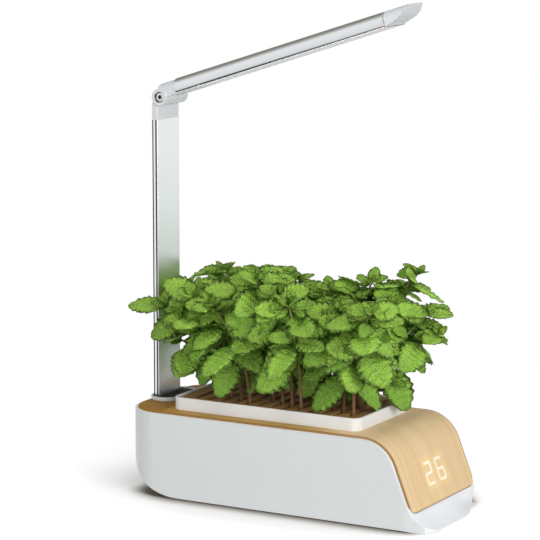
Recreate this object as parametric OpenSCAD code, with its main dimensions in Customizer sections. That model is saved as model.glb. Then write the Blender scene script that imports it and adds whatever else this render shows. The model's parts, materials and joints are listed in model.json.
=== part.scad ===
// Countertop hydroponic garden: a moulded tub with a bent wooden cover, a lift-out
// seedling tray and a folding LED lamp on a flat post.
// Millimetres, +X towards the display end, +Z up, origin on the table below the middle.

/* [Body] */
// Overall length of the tub
body_l = 281; // [250:1:330]
// Overall width of the tub
body_w = 120; // [110:1:150]
// Height of the rim above the table
rim_z = 70; // [66:1:90]
// Thickness of the tub's walls
wall = 2.4; // [1.8:0.2:3.2]
// Thickness of the tub's floor
floor_t = 4; // [3:0.5:6]
// Plan radius of the rear corners
rear_corner_r = 30; // [20:1:36]
// Plan radius of the front corners of the toe
toe_corner_r = 24; // [16:1:30]
// Radius that rolls the rear face into the underside
heel_r = 28; // [16:1:34]
// How far the rear face leans in between rim and table
rear_lean = 2; // [0:0.5:4]
// Lean of the front face from upright, in degrees
face_lean = 21.4; // [14:0.2:28]
// Distance from the toe back to where the front face meets the rim line
toe_reach = 38; // [34:1:46]
// Radius that bends the top into the front face
brow_r = 30; // [20:1:40]
// Height at which the hollow flare above the toe starts
toe_flare_z = 18; // [15:0.5:22]
// Height of the toe's upright edge
toe_land = 1; // [0.6:0.1:2]
// How far the rubber feet lift the tub
foot_lift = 0.8; // [0.5:0.1:1.5]
// Radius of a rubber foot
foot_r = 6; // [4:0.5:8]
// Thickness of a rubber foot
foot_t = 2; // [1.5:0.25:3]

/* [Wooden cover] */
// Thickness of the wood
wood_t = 4; // [3:0.5:5]
// How far the wood stands above the rim
wood_rise = 1.6; // [0.8:0.2:2.4]
// Clearance between the wood and the tub's walls
wood_gap = 0.4; // [0.3:0.1:1]
// Distance from the rear rim to the seam between the fixed deck and the cover
seam_from_rear = 35.5; // [34:0.5:44]
// Clearance across the seam
seam_gap = 0.5; // [0.4:0.1:1]
// Height of the cover's lower edge
apron_z = 13.8; // [10:0.5:18]
// Radius of the cover's lower corners
cover_corner_r = 9; // [4:1:14]
// Width of the ledges that carry the wood
ledge_w = 3.4; // [2.5:0.2:5]
// Depth of the ledges
ledge_h = 4; // [3:0.5:6]
// Thickness of the moulded frame under the cover
liner_t = 2; // [1.5:0.25:3]
// Depth of the frame's locating lip
liner_lip = 7; // [5:0.5:10]

/* [Seedling tray] */
// Distance from the tray's front end to where the top starts to bend
tray_from_brow = 10; // [6:1:30]
// Width of the tray
tray_w = 92.6; // [80:1:96]
// Height of the tray above the deck
tray_h = 10.6; // [8:0.2:14]
// Corner radius of the tray
tray_r = 8; // [4:1:12]
// Wall of the tray
tray_wall = 2; // [1.6:0.2:3]
// Distance from the cover's seam to the tray
tray_from_seam = 4.5; // [3:0.5:8]
// Width of the ledge that rests on the deck
tray_ledge = 9; // [7:0.5:12]
// Clearance round the tray's neck in the deck
neck_gap = 1; // [0.6:0.2:2]
// Thickness of the slotted grille
grille_t = 3; // [2:0.5:4]
// Depth of the grille below the tray's rim
grille_drop = 1.6; // [0.8:0.2:3]
// Number of slots in the grille
slot_n = 13; // [9:1:15]
// Width of a slot
slot_w = 5.6; // [4:0.2:7]
// Margin between a slot's end and the grille's edge
slot_margin = 8; // [6:1:12]
// Depth of the net basket below the deck
basket_h = 30; // [20:1:34]
// Wall of the net basket
basket_wall = 1.6; // [1.2:0.2:2.4]
// Number of windows along the basket's side
basket_n = 15; // [9:2:19]
// Clearance round the growing sponge
sponge_gap = 0.3; // [0.3:0.1:1]

/* [Plants] */
// Height of a plant above the grille
plant_h = 100; // [60:2:110]
// Outward spread of the plants at the top
plant_spread = 27; // [8:1:30]
// Length of a full-grown leaf
leaf_l = 29; // [24:1:36]
// Pairs of leaves on a stem
leaf_pairs = 4; // [3:1:5]
// Thickness of a leaf
leaf_t = 0.7; // [0.5:0.1:1.2]
// Radius of a stem at its foot
stem_r = 1.4; // [1:0.1:2]
// How much further each row of stems leans towards its end of the tray
lean_step = 5.2; // [2:0.2:6]
// Clearance kept between the leaves and the post
leaf_post_gap = 14; // [10:1:20]

/* [Tank and pump] */
// Wall of the water tank
tank_wall = 1.6; // [1.2:0.2:2.4]
// Clearance between the tank and the tub's walls
tank_gap = 3; // [2:0.5:6]
// Height of the tank above the tub's floor
tank_h = 52; // [44:1:52]
// Length of the pump
pump_l = 30; // [24:1:36]
// Width of the pump
pump_w = 24; // [18:1:30]
// Height of the pump
pump_h = 20; // [16:1:24]
// Radius of the riser tube
riser_r = 3; // [2:0.5:4]

/* [Lamp post] */
// Width of the post
post_w = 34; // [28:1:40]
// Thickness of the post
post_t = 5.4; // [4.6:0.2:8]
// Distance from the rear rim to the back of the post
post_setback = 4.6; // [4:0.2:8]
// Height of the post's upper end
post_top_z = 305.5; // [240:1:360]
// Wall of the extrusions
skin = 1.2; // [0.9:0.1:1.6]
// Thickness of the mirror strip
mirror_t = 1; // [0.8:0.1:1.4]
// Width of the lips beside the mirror strip
mirror_lip = 0.9; // [0.6:0.1:1.6]
// Half length of the oval collar along its long axis
collar_a = 24.6; // [22:0.2:28]
// Half width of the collar
collar_b = 13; // [11:0.5:16]
// Height of the collar
collar_h = 3; // [2:0.5:5]
// Width of the collar's raised rim
collar_rim = 1.6; // [1:0.2:3]
// Length of the post held in the bracket
bracket_h = 32; // [24:1:34]
// Clearance of fixed fits
fit = 0.1; // [0.05:0.05:0.2]

/* [Hinge] */
// Radius of the hinge barrel
barrel_r = 7.1; // [6.6:0.1:9]
// Gap between the barrel and its cradle
cradle_gap = 0.5; // [0.4:0.1:1]
// Radius of the hinge bolt
bolt_r = 2; // [1.5:0.25:2.5]
// Radial running clearance on the bolt
run_fit = 0.05; // [0.02:0.01:0.1]
// Width of the tongue inside the barrel
tongue_w = 10; // [8:0.5:14]
// Radius of the tongue
tongue_r = 4.9; // [4:0.1:5.2]
// Thickness of a friction washer
washer_t = 0.9; // [0.6:0.1:1.2]
// Distance across the corners of the hex pocket
pocket_d = 9.4; // [8.4:0.2:10]
// Depth of the hex pocket
pocket_depth = 4; // [3:0.5:6]
// Hinge height above the post's upper end
hinge_rise = 18.8; // [17:0.2:24]

/* [Lamp arm] */
// Angle of the arm above level
arm_angle = 17.8; // [0:0.2:60]
// Length from the hinge to the tip
arm_l = 240; // [180:1:280]
// Width of the arm
arm_w = 34; // [28:1:40]
// Thickness of the arm
arm_t = 12.5; // [11.5:0.1:16]
// Radius of the arm's upper edges
arm_edge_r = 8.5; // [4:0.5:9]
// Height of the milky band below the slot
band_h = 0.7; // [0.6:0.1:2]
// Height of the dark slot between band and housing
slot_h = 0.6; // [0.4:0.1:1]
// Distance from the hinge to the start of the housing
root_l = 16.6; // [14:0.2:24]
// Length of the end cap
tip_l = 23; // [18:1:34]
// Length of the closed underside beside the root
blank_l = 22; // [14:1:40]
// Number of LED chips in one row
led_n = 24; // [8:1:36]

/* [Display] */
// Distance down the front face from the rim line to the digits' centre
display_s = 36; // [30:1:40]
// Height of a digit
digit_h = 18.5; // [10:0.5:20]
// Width of a digit
digit_w = 12; // [6:0.5:13]
// Distance between the digits' centres
digit_pitch = 20; // [16:0.5:24]
// Width of a lit segment
segment_w = 1.5; // [1:0.1:2.6]
// Wood left over the lit segments
veneer_t = 0.8; // [0.4:0.1:1.2]
// Depth of the display's housing
module_t = 6; // [4:0.5:8]
// Thickness of the circuit boards
board_t = 1.6; // [1:0.2:2]

/* [Hidden] */
$fn = 72;
// Overshoot of a cut beyond the face it opens
cut = 1;
// Face-to-face seats between fixed pieces, and the seat of soft pieces
seat = 0.3;
body_x0 = -body_l / 2;
toe_x = body_l / 2;
nose_x = toe_x - toe_reach;
base_z = foot_lift;
floor_z = base_z + floor_t;
// The flare's arc starts this far inside the sloping face, so that the two cross cleanly
flare_overlap = 0.05;
deck_z = rim_z + wood_rise;
deck_under_z = deck_z - wood_t;
inner_w = body_w - 2 * wall;
wood_w = inner_w - 2 * wood_gap;
seam_x = body_x0 + seam_from_rear;
// Bend of the brow: centre shared by every surface that follows it
brow_c = [nose_x - brow_r * tan((90 - face_lean) / 2), rim_z - brow_r];
rear_tilt = atan(rear_lean / rim_z);
// Tray
tray_x0 = seam_x + seam_gap + tray_from_seam;
tray_l = brow_c[0] - tray_from_brow - tray_x0;
tray_cx = tray_x0 + tray_l / 2;
tray_top_z = deck_z + tray_h;
grille_top_z = tray_top_z - grille_drop;
grille_z = grille_top_z - grille_t;
neck_l = tray_l - 2 * tray_ledge;
neck_w = tray_w - 2 * tray_ledge;
basket_l = neck_l - 2 * (tray_wall + fit);
basket_w = neck_w - 2 * (tray_wall + fit);
basket_z = deck_under_z - basket_h;
basket_rim_z = deck_z + tray_wall + basket_wall;
slot_pitch = (tray_l - 2 * (tray_wall + slot_margin)) / slot_n;
sponge_top_z = grille_z;
// Tank
tank_x0 = seam_x - tank_gap;
tank_x1 = tray_x0 + tray_l + tank_gap;
tank_w = inner_w - 2 * (ledge_w + tank_gap);
plate_x0 = tank_x0 + foot_r * 2;
plate_x1 = tank_x1 + foot_r * 2;
plate_w = tank_w - foot_r * 2;
plate_t = floor_t * 0.55;
// Post and hinge
post_x0 = body_x0 + post_setback;
post_z0 = deck_under_z - bracket_h;
collar_cx = body_x0 + collar_b + 1;
collar_z = deck_z + collar_h;
hinge_x = post_x0 + barrel_r;
hinge_z = post_top_z + hinge_rise;
washer_r = tongue_r;
// The cradle's horns and the tongue's neck stop this far below the hinge
horn_drop = 0.65 * barrel_r;
neck_drop = 2;
// Directions, seen from the hinge, between which the neck reaches the tongue
neck_lo = 180 + atan(neck_drop / barrel_r);
neck_hi = 270 - atan((barrel_r - post_t) / barrel_r);
arm_up = 90 - arm_angle;
sweep_spare = 4;
housing_l = arm_l - tip_l - root_l;
// Underside of the arm below the hinge, and the planes of its band and housing
arm_drop = 1.3;
arm_z0 = -arm_drop;
band_z1 = arm_z0 + band_h;
slot_z1 = band_z1 + slot_h;
band_w = arm_w - 1;
diffuser_w = arm_w - 2 * skin - 0.4;
diffuser_t = 1.6;
// LED board above the slot
led_z = slot_z1 + 3.8;
led_board_t = 1.2;
// Feet
foot_rear_x = body_x0 + rear_lean + heel_r + foot_r + 3;
foot_front_x = toe_x - toe_corner_r - foot_r - 4;
foot_y = body_w / 2 - wall - foot_r - 5;
inlet_r = 4;
inlet_flange = 1.2;
// Lamp bracket's material beside the post
bracket_side = 5;
inlet_y = post_w / 2 + bracket_side + inlet_r + inlet_flange + 1;
inlet_z = 33;
// Circuit board's margins round the digits, and its connector
board_side = 15;
board_end = 7;
plug_l = 18;
plug_w = 12;
plug_h = 2.4;
// Ribs and foot of the board's bracket
rib_t = 3;
rib_top = 4;
rib_foot = 18;

// ---- Shared outlines -------------------------------------------------------------

function rear_x(z, d = 0) = body_x0 + rear_lean * (rim_z - z) / rim_z + d;
function face_x(z, d = 0) = nose_x + (rim_z - z) * tan(face_lean) - d / cos(face_lean);
function frac(v) = v - floor(v);

// Upright profile pushed sideways across the tub, centred on its middle plane
module across(w) {
    rotate([90, 0, 0]) linear_extrude(height = w, center = true) children();
}

// What a fillet of radius r takes off a corner, the corner at the origin
module corner_waste(r) {
    difference() {
        translate([-cut, -cut]) square(r + cut);
        translate([r, r]) circle(r);
    }
}

// Rectangle with one radius at the low-x corners and another at the high-x ones
module rounded_plan(x0, x1, w, r0, r1) {
    difference() {
        translate([x0, -w / 2]) square([x1 - x0, w]);
        for (s = [0, 1]) mirror([0, s]) {
            translate([x0, -w / 2]) corner_waste(r0);
            translate([x1, -w / 2]) mirror([1, 0]) corner_waste(r1);
        }
    }
}

module block(x0, x1, w, z0, z1, r = 0) {
    translate([0, 0, z0]) linear_extrude(height = z1 - z0)
        rounded_plan(x0, x1, w, r, r);
}

// Side view of a surface lying d inside the tub's outer skin, open length to the toe
module side_outline(d, z0) {
    r = brow_r - d;
    top = rim_z - d;
    difference() {
        polygon([[rear_x(z0, d), z0], [face_x(z0, d), z0], [face_x(top, d), top],
            [rear_x(top, d), top]]);
        difference() {
            polygon([brow_c, [brow_c[0], top + cut], [face_x(top, d) + cut, top + cut],
                brow_c + (r + cut) * [cos(face_lean), sin(face_lean)]]);
            translate(brow_c) circle(r);
        }
        heel_waste(d);
    }
}

// What the rolled heel takes off the lower rear corner of the side view
module heel_waste(d) {
    c = [rear_x(base_z) + heel_r * (1 - sin(rear_tilt)) / cos(rear_tilt), base_z + heel_r];
    r = heel_r - d;
    difference() {
        polygon([c, [c[0], c[1] - r - cut], [body_x0 - cut, c[1] - r - cut],
            [body_x0 - cut, c[1] + r * sin(rear_tilt)], c]);
        translate(c) circle(r);
    }
}

// Hollow flare that carries the front face out to the toe
module toe_outline() {
    n = [cos(face_lean), sin(face_lean)];
    a = [face_x(toe_flare_z), toe_flare_z] - flare_overlap * n;
    reach = [toe_x, base_z + toe_land] - a;
    r = (reach * reach) / (2 * (n * reach));
    difference() {
        polygon([[a[0] - heel_r, base_z], [toe_x + cut, base_z], [toe_x + cut, a[1]],
            [a[0] - wall, a[1]]]);
        translate(a + r * n) circle(r);
    }
}

module outer_plan() {
    rounded_plan(body_x0, toe_x, body_w, rear_corner_r, toe_corner_r);
}

module inner_plan(d) {
    rounded_plan(body_x0 + d, toe_x - d, body_w - 2 * d, rear_corner_r - d, toe_corner_r - d);
}

// ---- Base ------------------------------------------------------------------------

// Moulded tub: rolled heel, open top and front, flared toe and a frame for the cover
module body_shell() {
    color("white") difference() {
        intersection() {
            across(body_w) {
                side_outline(0, base_z);
                toe_outline();
            }
            translate([0, 0, base_z]) linear_extrude(height = rim_z) outer_plan();
        }
        shell_cavity();
        // Window in the front for the cover's face
        translate([tray_cx, 0, 0]) rotate([90, 0, 90]) linear_extrude(height = body_l)
            face_window(wood_gap, rim_z + cut);
        // Opening and rebate for the bottom plate
        block(plate_x0 + 4, plate_x1 - 4, plate_w - 8, 0, floor_z + cut, 4);
        block(plate_x0 - fit, plate_x1 + fit, plate_w + 2 * fit, 0, base_z + plate_t, 4);
        each_foot() foot_recess();
        // Hole for the power inlet
        translate([body_x0 - cut, inlet_y, inlet_z]) rotate([0, 90, 0])
            cylinder(r = inlet_r + fit, h = wall + rear_lean + 3);
    }
    color("white") shell_ledges();
}

module shell_cavity() {
    intersection() {
        across(inner_w) difference() {
            union() {
                side_outline(wall, floor_z);
                translate([rear_x(rim_z, wall), rim_z - wall - brow_r])
                    square([nose_x - brow_r - rear_x(rim_z, wall), brow_r + wall + cut]);
            }
            heel_waste(wall);
        }
        translate([0, 0, base_z]) linear_extrude(height = rim_z + cut) inner_plan(wall);
    }
}

// Front view of the cover's face, grown by g
module face_window(g, top) {
    w = wood_w + 2 * g;
    r = cover_corner_r + g;
    difference() {
        translate([-w / 2, apron_z - g]) square([w, top - apron_z + g]);
        for (s = [0, 1]) mirror([s, 0]) translate([-w / 2, apron_z - g]) corner_waste(r);
    }
}

// Ledges along the walls that carry the deck and the cover
module shell_ledges() {
    x1 = brow_c[0];
    intersection() {
        difference() {
            translate([0, 0, deck_under_z - ledge_h]) linear_extrude(height = ledge_h)
                inner_plan(wall - fit);
            translate([0, 0, deck_under_z - ledge_h - cut])
                linear_extrude(height = ledge_h + 2 * cut) inner_plan(wall + ledge_w);
        }
        block(body_x0 + rear_corner_r * 0.3, x1, body_w, 0, rim_z);
    }
}

module each_foot() {
    for (x = [foot_rear_x, foot_front_x], y = [-foot_y, foot_y])
        translate([x, y, 0]) children();
}

module foot_recess() {
    translate([0, 0, -cut]) cylinder(r = foot_r + fit, h = foot_t + cut);
}

module each_base_screw() {
    for (x = [plate_x0 + 7, (plate_x0 + plate_x1) / 2, plate_x1 - 7], s = [-1, 1])
        translate([x, s * (plate_w / 2 - 2 - 2), 0]) children();
}

// Plate that closes the tub from below
module bottom_plate() {
    color("whitesmoke") difference() {
        block(plate_x0, plate_x1, plate_w, base_z, base_z + plate_t, 4);
        each_base_screw() cylinder(r = 1.6, h = floor_z);
        each_base_screw() cylinder(r = 3, h = base_z + 1.2);
        foot_recess();
    }
}

// Feet near the corners, and one under the middle of the wide plate
module rubber_feet() {
    color("dimgray") {
        each_foot() cylinder(r = foot_r, h = foot_t);
        cylinder(r = foot_r, h = foot_t);
    }
}

module base_screws() {
    color("silver") each_base_screw() translate([0, 0, base_z + 0.2]) difference() {
        cylinder(r = 2.8, h = 1);
        translate([0, 0, -0.1]) {
            cube([3.4, 0.8, 1], center = true);
            cube([0.8, 3.4, 1], center = true);
        }
    }
}

// Open tub that holds the water, standing on the floor and the plate's frame
module water_tank() {
    color("gainsboro") difference() {
        union() {
            block(tank_x0, tank_x1, tank_w, floor_z, floor_z + tank_h, 8);
            block(tank_x0 - 1.4, tank_x1 + 1.4, tank_w + 2.8, floor_z + tank_h - 3,
                floor_z + tank_h, 9.4);
        }
        block(tank_x0 + tank_wall, tank_x1 - tank_wall, tank_w - 2 * tank_wall,
            floor_z + tank_wall, rim_z, 8 - tank_wall);
    }
}

pump_x = tank_x0 + tank_wall + 3;
pump_y = -tank_w / 2 + tank_wall + pump_w / 2 + 1;
pump_z = floor_z + tank_wall;

// Submersible pump with a ribbed intake and a spout
module pump() {
    color("darkslategray") translate([pump_x, pump_y, pump_z]) difference() {
        union() {
            translate([0, -pump_w / 2, 0]) cube([pump_l, pump_w, pump_h]);
            translate([pump_l / 2, 0, pump_h - 0.1]) cylinder(r = riser_r, h = 4);
        }
        for (i = [0:4]) translate([pump_l - 1.2, -pump_w / 2 + 3 + i * (pump_w - 7) / 4, 3])
            cube([2, 1, pump_h - 6]);
    }
}

// Short hose from the pump's spout up to the basket's floor
module riser_tube() {
    color("lightcyan") translate([pump_x + pump_l / 2, pump_y, pump_z + pump_h]) difference() {
        cylinder(r = riser_r + 1.2, h = basket_z - pump_z - pump_h - seat);
        translate([0, 0, -cut]) cylinder(r = riser_r + fit, h = tank_h);
    }
}

// Barrel socket for the supply, low on the back
module power_inlet() {
    x = rear_x(inlet_z);
    color("dimgray") translate([0, inlet_y, inlet_z]) rotate([0, 90, 0]) difference() {
        union() {
            translate([0, 0, x - 1]) cylinder(r = inlet_r, h = 13);
            translate([0, 0, x - 1]) cylinder(r = inlet_r + inlet_flange, h = 0.8);
            translate([0, 0, x + wall + 0.8])
                cylinder(r = inlet_r + inlet_flange, h = 3, $fn = 6);
        }
        translate([0, 0, x - 2]) cylinder(r = 2.75, h = 11);
    }
    color("silver") translate([x + 1, inlet_y, inlet_z]) rotate([0, 90, 0])
        cylinder(r = 1, h = 8.2);
}

// Places things on the front face: x across, y up the slope, z out of the wood's face
module on_face(depth) {
    translate([face_x(rim_z - display_s * cos(face_lean), -wood_rise), 0,
        rim_z - display_s * cos(face_lean)])
        rotate([0, 90 - face_lean, 0]) rotate([0, 0, 90]) translate([0, 0, -depth]) children();
}

// Dark housing of the seven-segment display, behind the wood
module display_module() {
    w = digit_pitch + digit_w + 12;
    h = digit_h + 8;
    color("black") on_face(wood_t + seat) translate([0, 0, -module_t]) difference() {
        translate([-w / 2, -h / 2, 0]) cube([w, h, module_t]);
        translate([-w / 2 + 2, -h / 2 + 2, -cut]) cube([w - 4, h - 4, 3]);
    }
}

board_depth = wood_t + seat + module_t;
board_w = digit_pitch + digit_w + 2 * board_side;
board_h = digit_h + 2 * board_end;

// Circuit board behind the display, with its connector
module control_board() {
    color("seagreen") on_face(board_depth) translate([0, 0, -board_t]) {
        translate([-board_w / 2, -board_h / 2, 0]) cube([board_w, board_h, board_t]);
        translate([-plug_l / 2, -plug_w / 2, -plug_h]) cube([plug_l, plug_w, plug_h + 0.1]);
    }
}

// Sloping bracket on the tub's floor that carries the board: two gussets and a foot
module display_bracket() {
    d = board_depth + board_t - wood_rise + fit;
    top = rim_z - (display_s - board_h / 2) * cos(face_lean);
    x0 = face_x(floor_z, d);
    color("gainsboro") {
        for (s = [-1, 1]) translate([0, s * (board_w / 2 - rib_top), 0]) across(rib_t)
            polygon([[x0, floor_z], [face_x(top, d), top], [face_x(top, d) - rib_top, top],
                [x0 - rib_foot, floor_z]]);
        block(x0 - rib_foot, x0 - rib_top, board_w - 2 * (rib_top + 1), floor_z,
            floor_z + rib_t - 1);
    }
}

// ---- Lamp foot and post ----------------------------------------------------------

// Fixed piece of deck round the lamp's foot
module rear_deck() {
    g = wall + wood_gap;
    color("burlywood") difference() {
        intersection() {
            translate([0, 0, deck_under_z]) linear_extrude(height = wood_t) inner_plan(g);
            block(body_x0, seam_x - seam_gap / 2, body_w, 0, 2 * rim_z);
        }
        // Notch for the post, covered by the collar
        block(body_x0 - cut, post_x0 + post_t + 2 * fit, post_w + 2 * fit, rim_z - wood_t,
            deck_z + cut);
    }
}

// Plan of the collar, shrunk by d
module collar_plan(d) {
    r = collar_b - d;
    translate([collar_cx, 0]) {
        for (s = [-1, 1]) translate([0, s * (collar_a - collar_b)]) circle(r);
        square([2 * r, 2 * (collar_a - collar_b)], center = true);
    }
}

// Oval collar that covers the joint between post and deck
module lamp_collar() {
    color("white") translate([0, 0, deck_z]) difference() {
        linear_extrude(height = collar_h) collar_plan(0);
        translate([0, 0, 0.8]) linear_extrude(height = collar_h) collar_plan(collar_rim);
        block(post_x0 - fit, post_x0 + post_t + fit, post_w + 2 * fit, -cut, collar_h);
    }
}

// Black seal inside the collar
module collar_gasket() {
    color("black") translate([0, 0, deck_z + 0.8]) difference() {
        linear_extrude(height = 0.8) collar_plan(collar_rim + fit);
        block(post_x0 - fit, post_x0 + post_t + fit, post_w + 2 * fit, -cut, collar_h);
    }
}

bracket_x1 = post_x0 + post_t + 7;

// Moulded bracket under the deck that clamps the post's lower end
module lamp_bracket() {
    w = post_w + 2 * bracket_side;
    x0 = post_x0 - fit;
    color("gainsboro") difference() {
        union() {
            block(x0, bracket_x1, w, post_z0, deck_under_z, 1);
            block(x0, bracket_x1 + 5, w, deck_under_z - 2.5, deck_under_z, 1);
        }
        block(x0 - cut, post_x0 + post_t + fit, post_w + 2 * fit, post_z0 + 2, rim_z);
        each_lamp_screw() cylinder(r = 1.6, h = 30);
    }
}

module each_lamp_screw() {
    for (s = [-1, 1], z = [post_z0 + 8, deck_under_z - 8])
        translate([post_x0 + post_t - 0.4, s * post_w * 0.28, z]) rotate([0, 90, 0])
            children();
}

// Screws that clamp the post in its bracket
module lamp_screws() {
    color("silver") each_lamp_screw() {
        translate([0, 0, 0.5]) cylinder(r = 1.5, h = bracket_x1 - post_x0 - post_t - 0.1);
        translate([0, 0, bracket_x1 - post_x0 - post_t + 0.4]) cylinder(r = 2.8, h = 1.8);
    }
}

post_hollow_t = post_t - mirror_t - 2 * skin;

// Flat extrusion, hollow in three cells, with a recess for the mirror strip
module lamp_post() {
    cell = (post_w - 4 * skin) / 3;
    color("lightgray") translate([0, 0, post_z0 + 2])
        linear_extrude(height = post_top_z - post_z0 - 2) difference() {
            rounded_plan(post_x0, post_x0 + post_t, post_w, 0.8, 0.4);
            for (i = [-1, 0, 1]) translate([post_x0 + skin, i * (cell + skin) - cell / 2])
                square([post_hollow_t, cell]);
            translate([post_x0 + post_t - mirror_t, -post_w / 2 + mirror_lip])
                square([mirror_t + cut, post_w - 2 * mirror_lip]);
        }
}

// Polished strip let into the front of the post
module mirror_strip() {
    color("azure") translate([0, 0, collar_z - collar_h + 0.8])
        block(post_x0 + post_t - mirror_t, post_x0 + post_t, post_w - 2 * mirror_lip - 2 * fit,
            0.8 + seat, post_top_z - collar_z + collar_h - 0.8);
}

// White cap on the post: a cradle for the barrel and the tongue inside it
module post_cap() {
    plug_t = post_hollow_t - 2 * fit;
    cell = (post_w - 4 * skin) / 3;
    color("white") difference() {
        union() {
            difference() {
                block(post_x0, post_x0 + post_t, post_w, post_top_z, hinge_z - horn_drop, 0.8);
                across_barrel(barrel_r + cradle_gap, post_w + 2);
            }
            block(post_x0, post_x0 + post_t, tongue_w, post_top_z + 2, hinge_z - neck_drop);
            across_barrel(tongue_r, tongue_w);
            for (i = [-1, 0, 1]) translate([0, i * (cell + skin), 0])
                block(post_x0 + skin + fit, post_x0 + skin + fit + plug_t, cell - 2 * fit,
                    post_top_z - 12, post_top_z + 0.1);
        }
        across_barrel(bolt_r + run_fit, post_w);
    }
}

// Cylinder on the hinge axis, centred across the lamp
module across_barrel(r, w) {
    translate([hinge_x, 0, hinge_z]) rotate([90, 0, 0]) cylinder(r = r, h = w, center = true);
}

// Washers that give the hinge its drag, one each side of the tongue
module friction_washers() {
    color("goldenrod") for (s = [-1, 1])
        translate([hinge_x, s * (tongue_w + washer_t) / 2, hinge_z]) rotate([90, 0, 0])
            difference() {
                cylinder(r = washer_r, h = washer_t - 0.1, center = true);
                cylinder(r = bolt_r + run_fit, h = washer_t + cut, center = true);
            }
}

// ---- Cover -----------------------------------------------------------------------

// Wooden cover: flat round the tray, bent over the brow and down the front face
module front_cover() {
    x0 = seam_x + seam_gap / 2;
    color("burlywood") difference() {
        intersection() {
            across(wood_w) difference() {
                side_outline(-wood_rise, apron_z);
                side_outline(wood_t - wood_rise, apron_z - cut);
            }
            translate([x0, 0, 0]) rotate([90, 0, 90]) linear_extrude(height = body_l)
                face_window(0, deck_z + cut);
        }
        block(tray_x0 + tray_ledge - neck_gap, tray_x0 + tray_l - tray_ledge + neck_gap,
            neck_w + 2 * neck_gap, rim_z - wood_t, deck_z + cut, 4);
        digit_segments(wood_t + cut, veneer_t);
    }
}

// Moulded frame bonded under the cover, with a lip that finds the ledges
module cover_liner() {
    x0 = seam_x + seam_gap / 2 + 1;
    x1 = brow_c[0];
    w = inner_w - 2 * (ledge_w + 0.6);
    color("white") difference() {
        block(x0, x1, w, deck_under_z - liner_lip, deck_under_z, 4);
        block(x0 + liner_t, x1 - liner_t, w - 2 * liner_t, deck_under_z - liner_lip - cut,
            deck_under_z - liner_t, 3);
        block(tray_x0 + tray_ledge - neck_gap, tray_x0 + tray_l - tray_ledge + neck_gap,
            neck_w + 2 * neck_gap, deck_under_z - liner_lip - cut, deck_z, 4);
    }
}

// The seven segments as bars: x and y of the centre, then whether the bar stands up
module segment_bars(on) {
    w = digit_w - segment_w;
    h = (digit_h - segment_w) / 2;
    spots = [[0, h, 0], [w / 2, h / 2, 1], [w / 2, -h / 2, 1], [0, -h, 0],
        [-w / 2, -h / 2, 1], [-w / 2, h / 2, 1], [0, 0, 0]];
    for (i = on) translate([spots[i][0], spots[i][1]]) rotate(90 * spots[i][2])
        square([(spots[i][2] == 1 ? h : w) - segment_w * 0.7, segment_w], center = true);
}

// Lit segments of the two digits, from depth a up to depth b below the wood's face
module digit_segments(a, b) {
    lit = [[0, 1, 6, 4, 3], [0, 5, 6, 4, 3, 2]];
    on_face(a) for (i = [0, 1]) translate([(i - 0.5) * digit_pitch, 0, 0])
        linear_extrude(height = a - b) segment_bars(lit[i]);
}

// Light guides of the digits, behind a thin veneer of the cover's own wood
module display_digits() {
    color("lightyellow") digit_segments(wood_t, veneer_t);
}

// ---- Seedling tray ---------------------------------------------------------------

// White frame that stands on the deck, with a neck through it
module tray_frame() {
    color("white") difference() {
        union() {
            block(tray_x0, tray_x0 + tray_l, tray_w, deck_z, tray_top_z, tray_r);
            block(tray_x0 + tray_ledge, tray_x0 + tray_l - tray_ledge, neck_w,
                deck_under_z - liner_t, deck_z + 1, 3);
        }
        block(tray_x0 + tray_wall, tray_x0 + tray_l - tray_wall, tray_w - 2 * tray_wall,
            deck_z + tray_wall, tray_top_z + cut, tray_r - tray_wall);
        block(tray_x0 + tray_ledge + tray_wall, tray_x0 + tray_l - tray_ledge - tray_wall,
            neck_w - 2 * tray_wall, 0, rim_z + tray_h, 2);
    }
}

function slot_x(i) = tray_cx + (i - (slot_n - 1) / 2) * slot_pitch;

// Bamboo grille: bars across the tray between round-ended slots, on two runners
module grille() {
    l = tray_l - 2 * (tray_wall + seat);
    w = tray_w - 2 * (tray_wall + seat);
    half = (w - 2 * slot_margin - slot_w) / 2;
    color("tan") {
        translate([0, 0, grille_z]) linear_extrude(height = grille_t) difference() {
            rounded_plan(tray_cx - l / 2, tray_cx + l / 2, w, tray_r - tray_wall - seat,
                tray_r - tray_wall - seat);
            for (i = [0:slot_n - 1]) translate([slot_x(i), 0]) {
                square([slot_w, 2 * half], center = true);
                for (s = [-1, 1]) translate([0, s * half]) circle(slot_w / 2);
            }
        }
        for (s = [-1, 1]) translate([tray_cx, s * (w / 2 - slot_margin / 2 + 1), 0])
            block(-l / 2 + 4, l / 2 - 4, slot_margin - 3, deck_z + tray_wall,
                grille_z + 0.1);
    }
}

basket_x0 = tray_cx - basket_l / 2;

// Net basket that hangs from the tray's floor down into the tank
module grow_basket() {
    pitch = (basket_l - 6) / basket_n;
    pitch_y = (basket_w - 6) / 7;
    win_z0 = basket_z + 4;
    win_z1 = deck_under_z - liner_t - 3;
    color("dimgray") difference() {
        union() {
            block(basket_x0, basket_x0 + basket_l, basket_w, basket_z, basket_rim_z, 2);
            block(basket_x0 - 3, basket_x0 + basket_l + 3, basket_w + 6,
                deck_z + tray_wall, basket_rim_z, 3);
        }
        block(basket_x0 + basket_wall, basket_x0 + basket_l - basket_wall,
            basket_w - 2 * basket_wall, basket_z + basket_wall, rim_z * 2, 1);
        for (i = [0:basket_n - 1])
            translate([basket_x0 + 3 + (i + 0.5) * pitch, 0, (win_z0 + win_z1) / 2])
                cube([pitch * 0.5, basket_w + 2, win_z1 - win_z0], center = true);
        for (i = [0:6])
            translate([tray_cx, -basket_w / 2 + 3 + (i + 0.5) * pitch_y, (win_z0 + win_z1) / 2])
                cube([basket_l + 2, pitch_y * 0.5, win_z1 - win_z0], center = true);
    }
}

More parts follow.
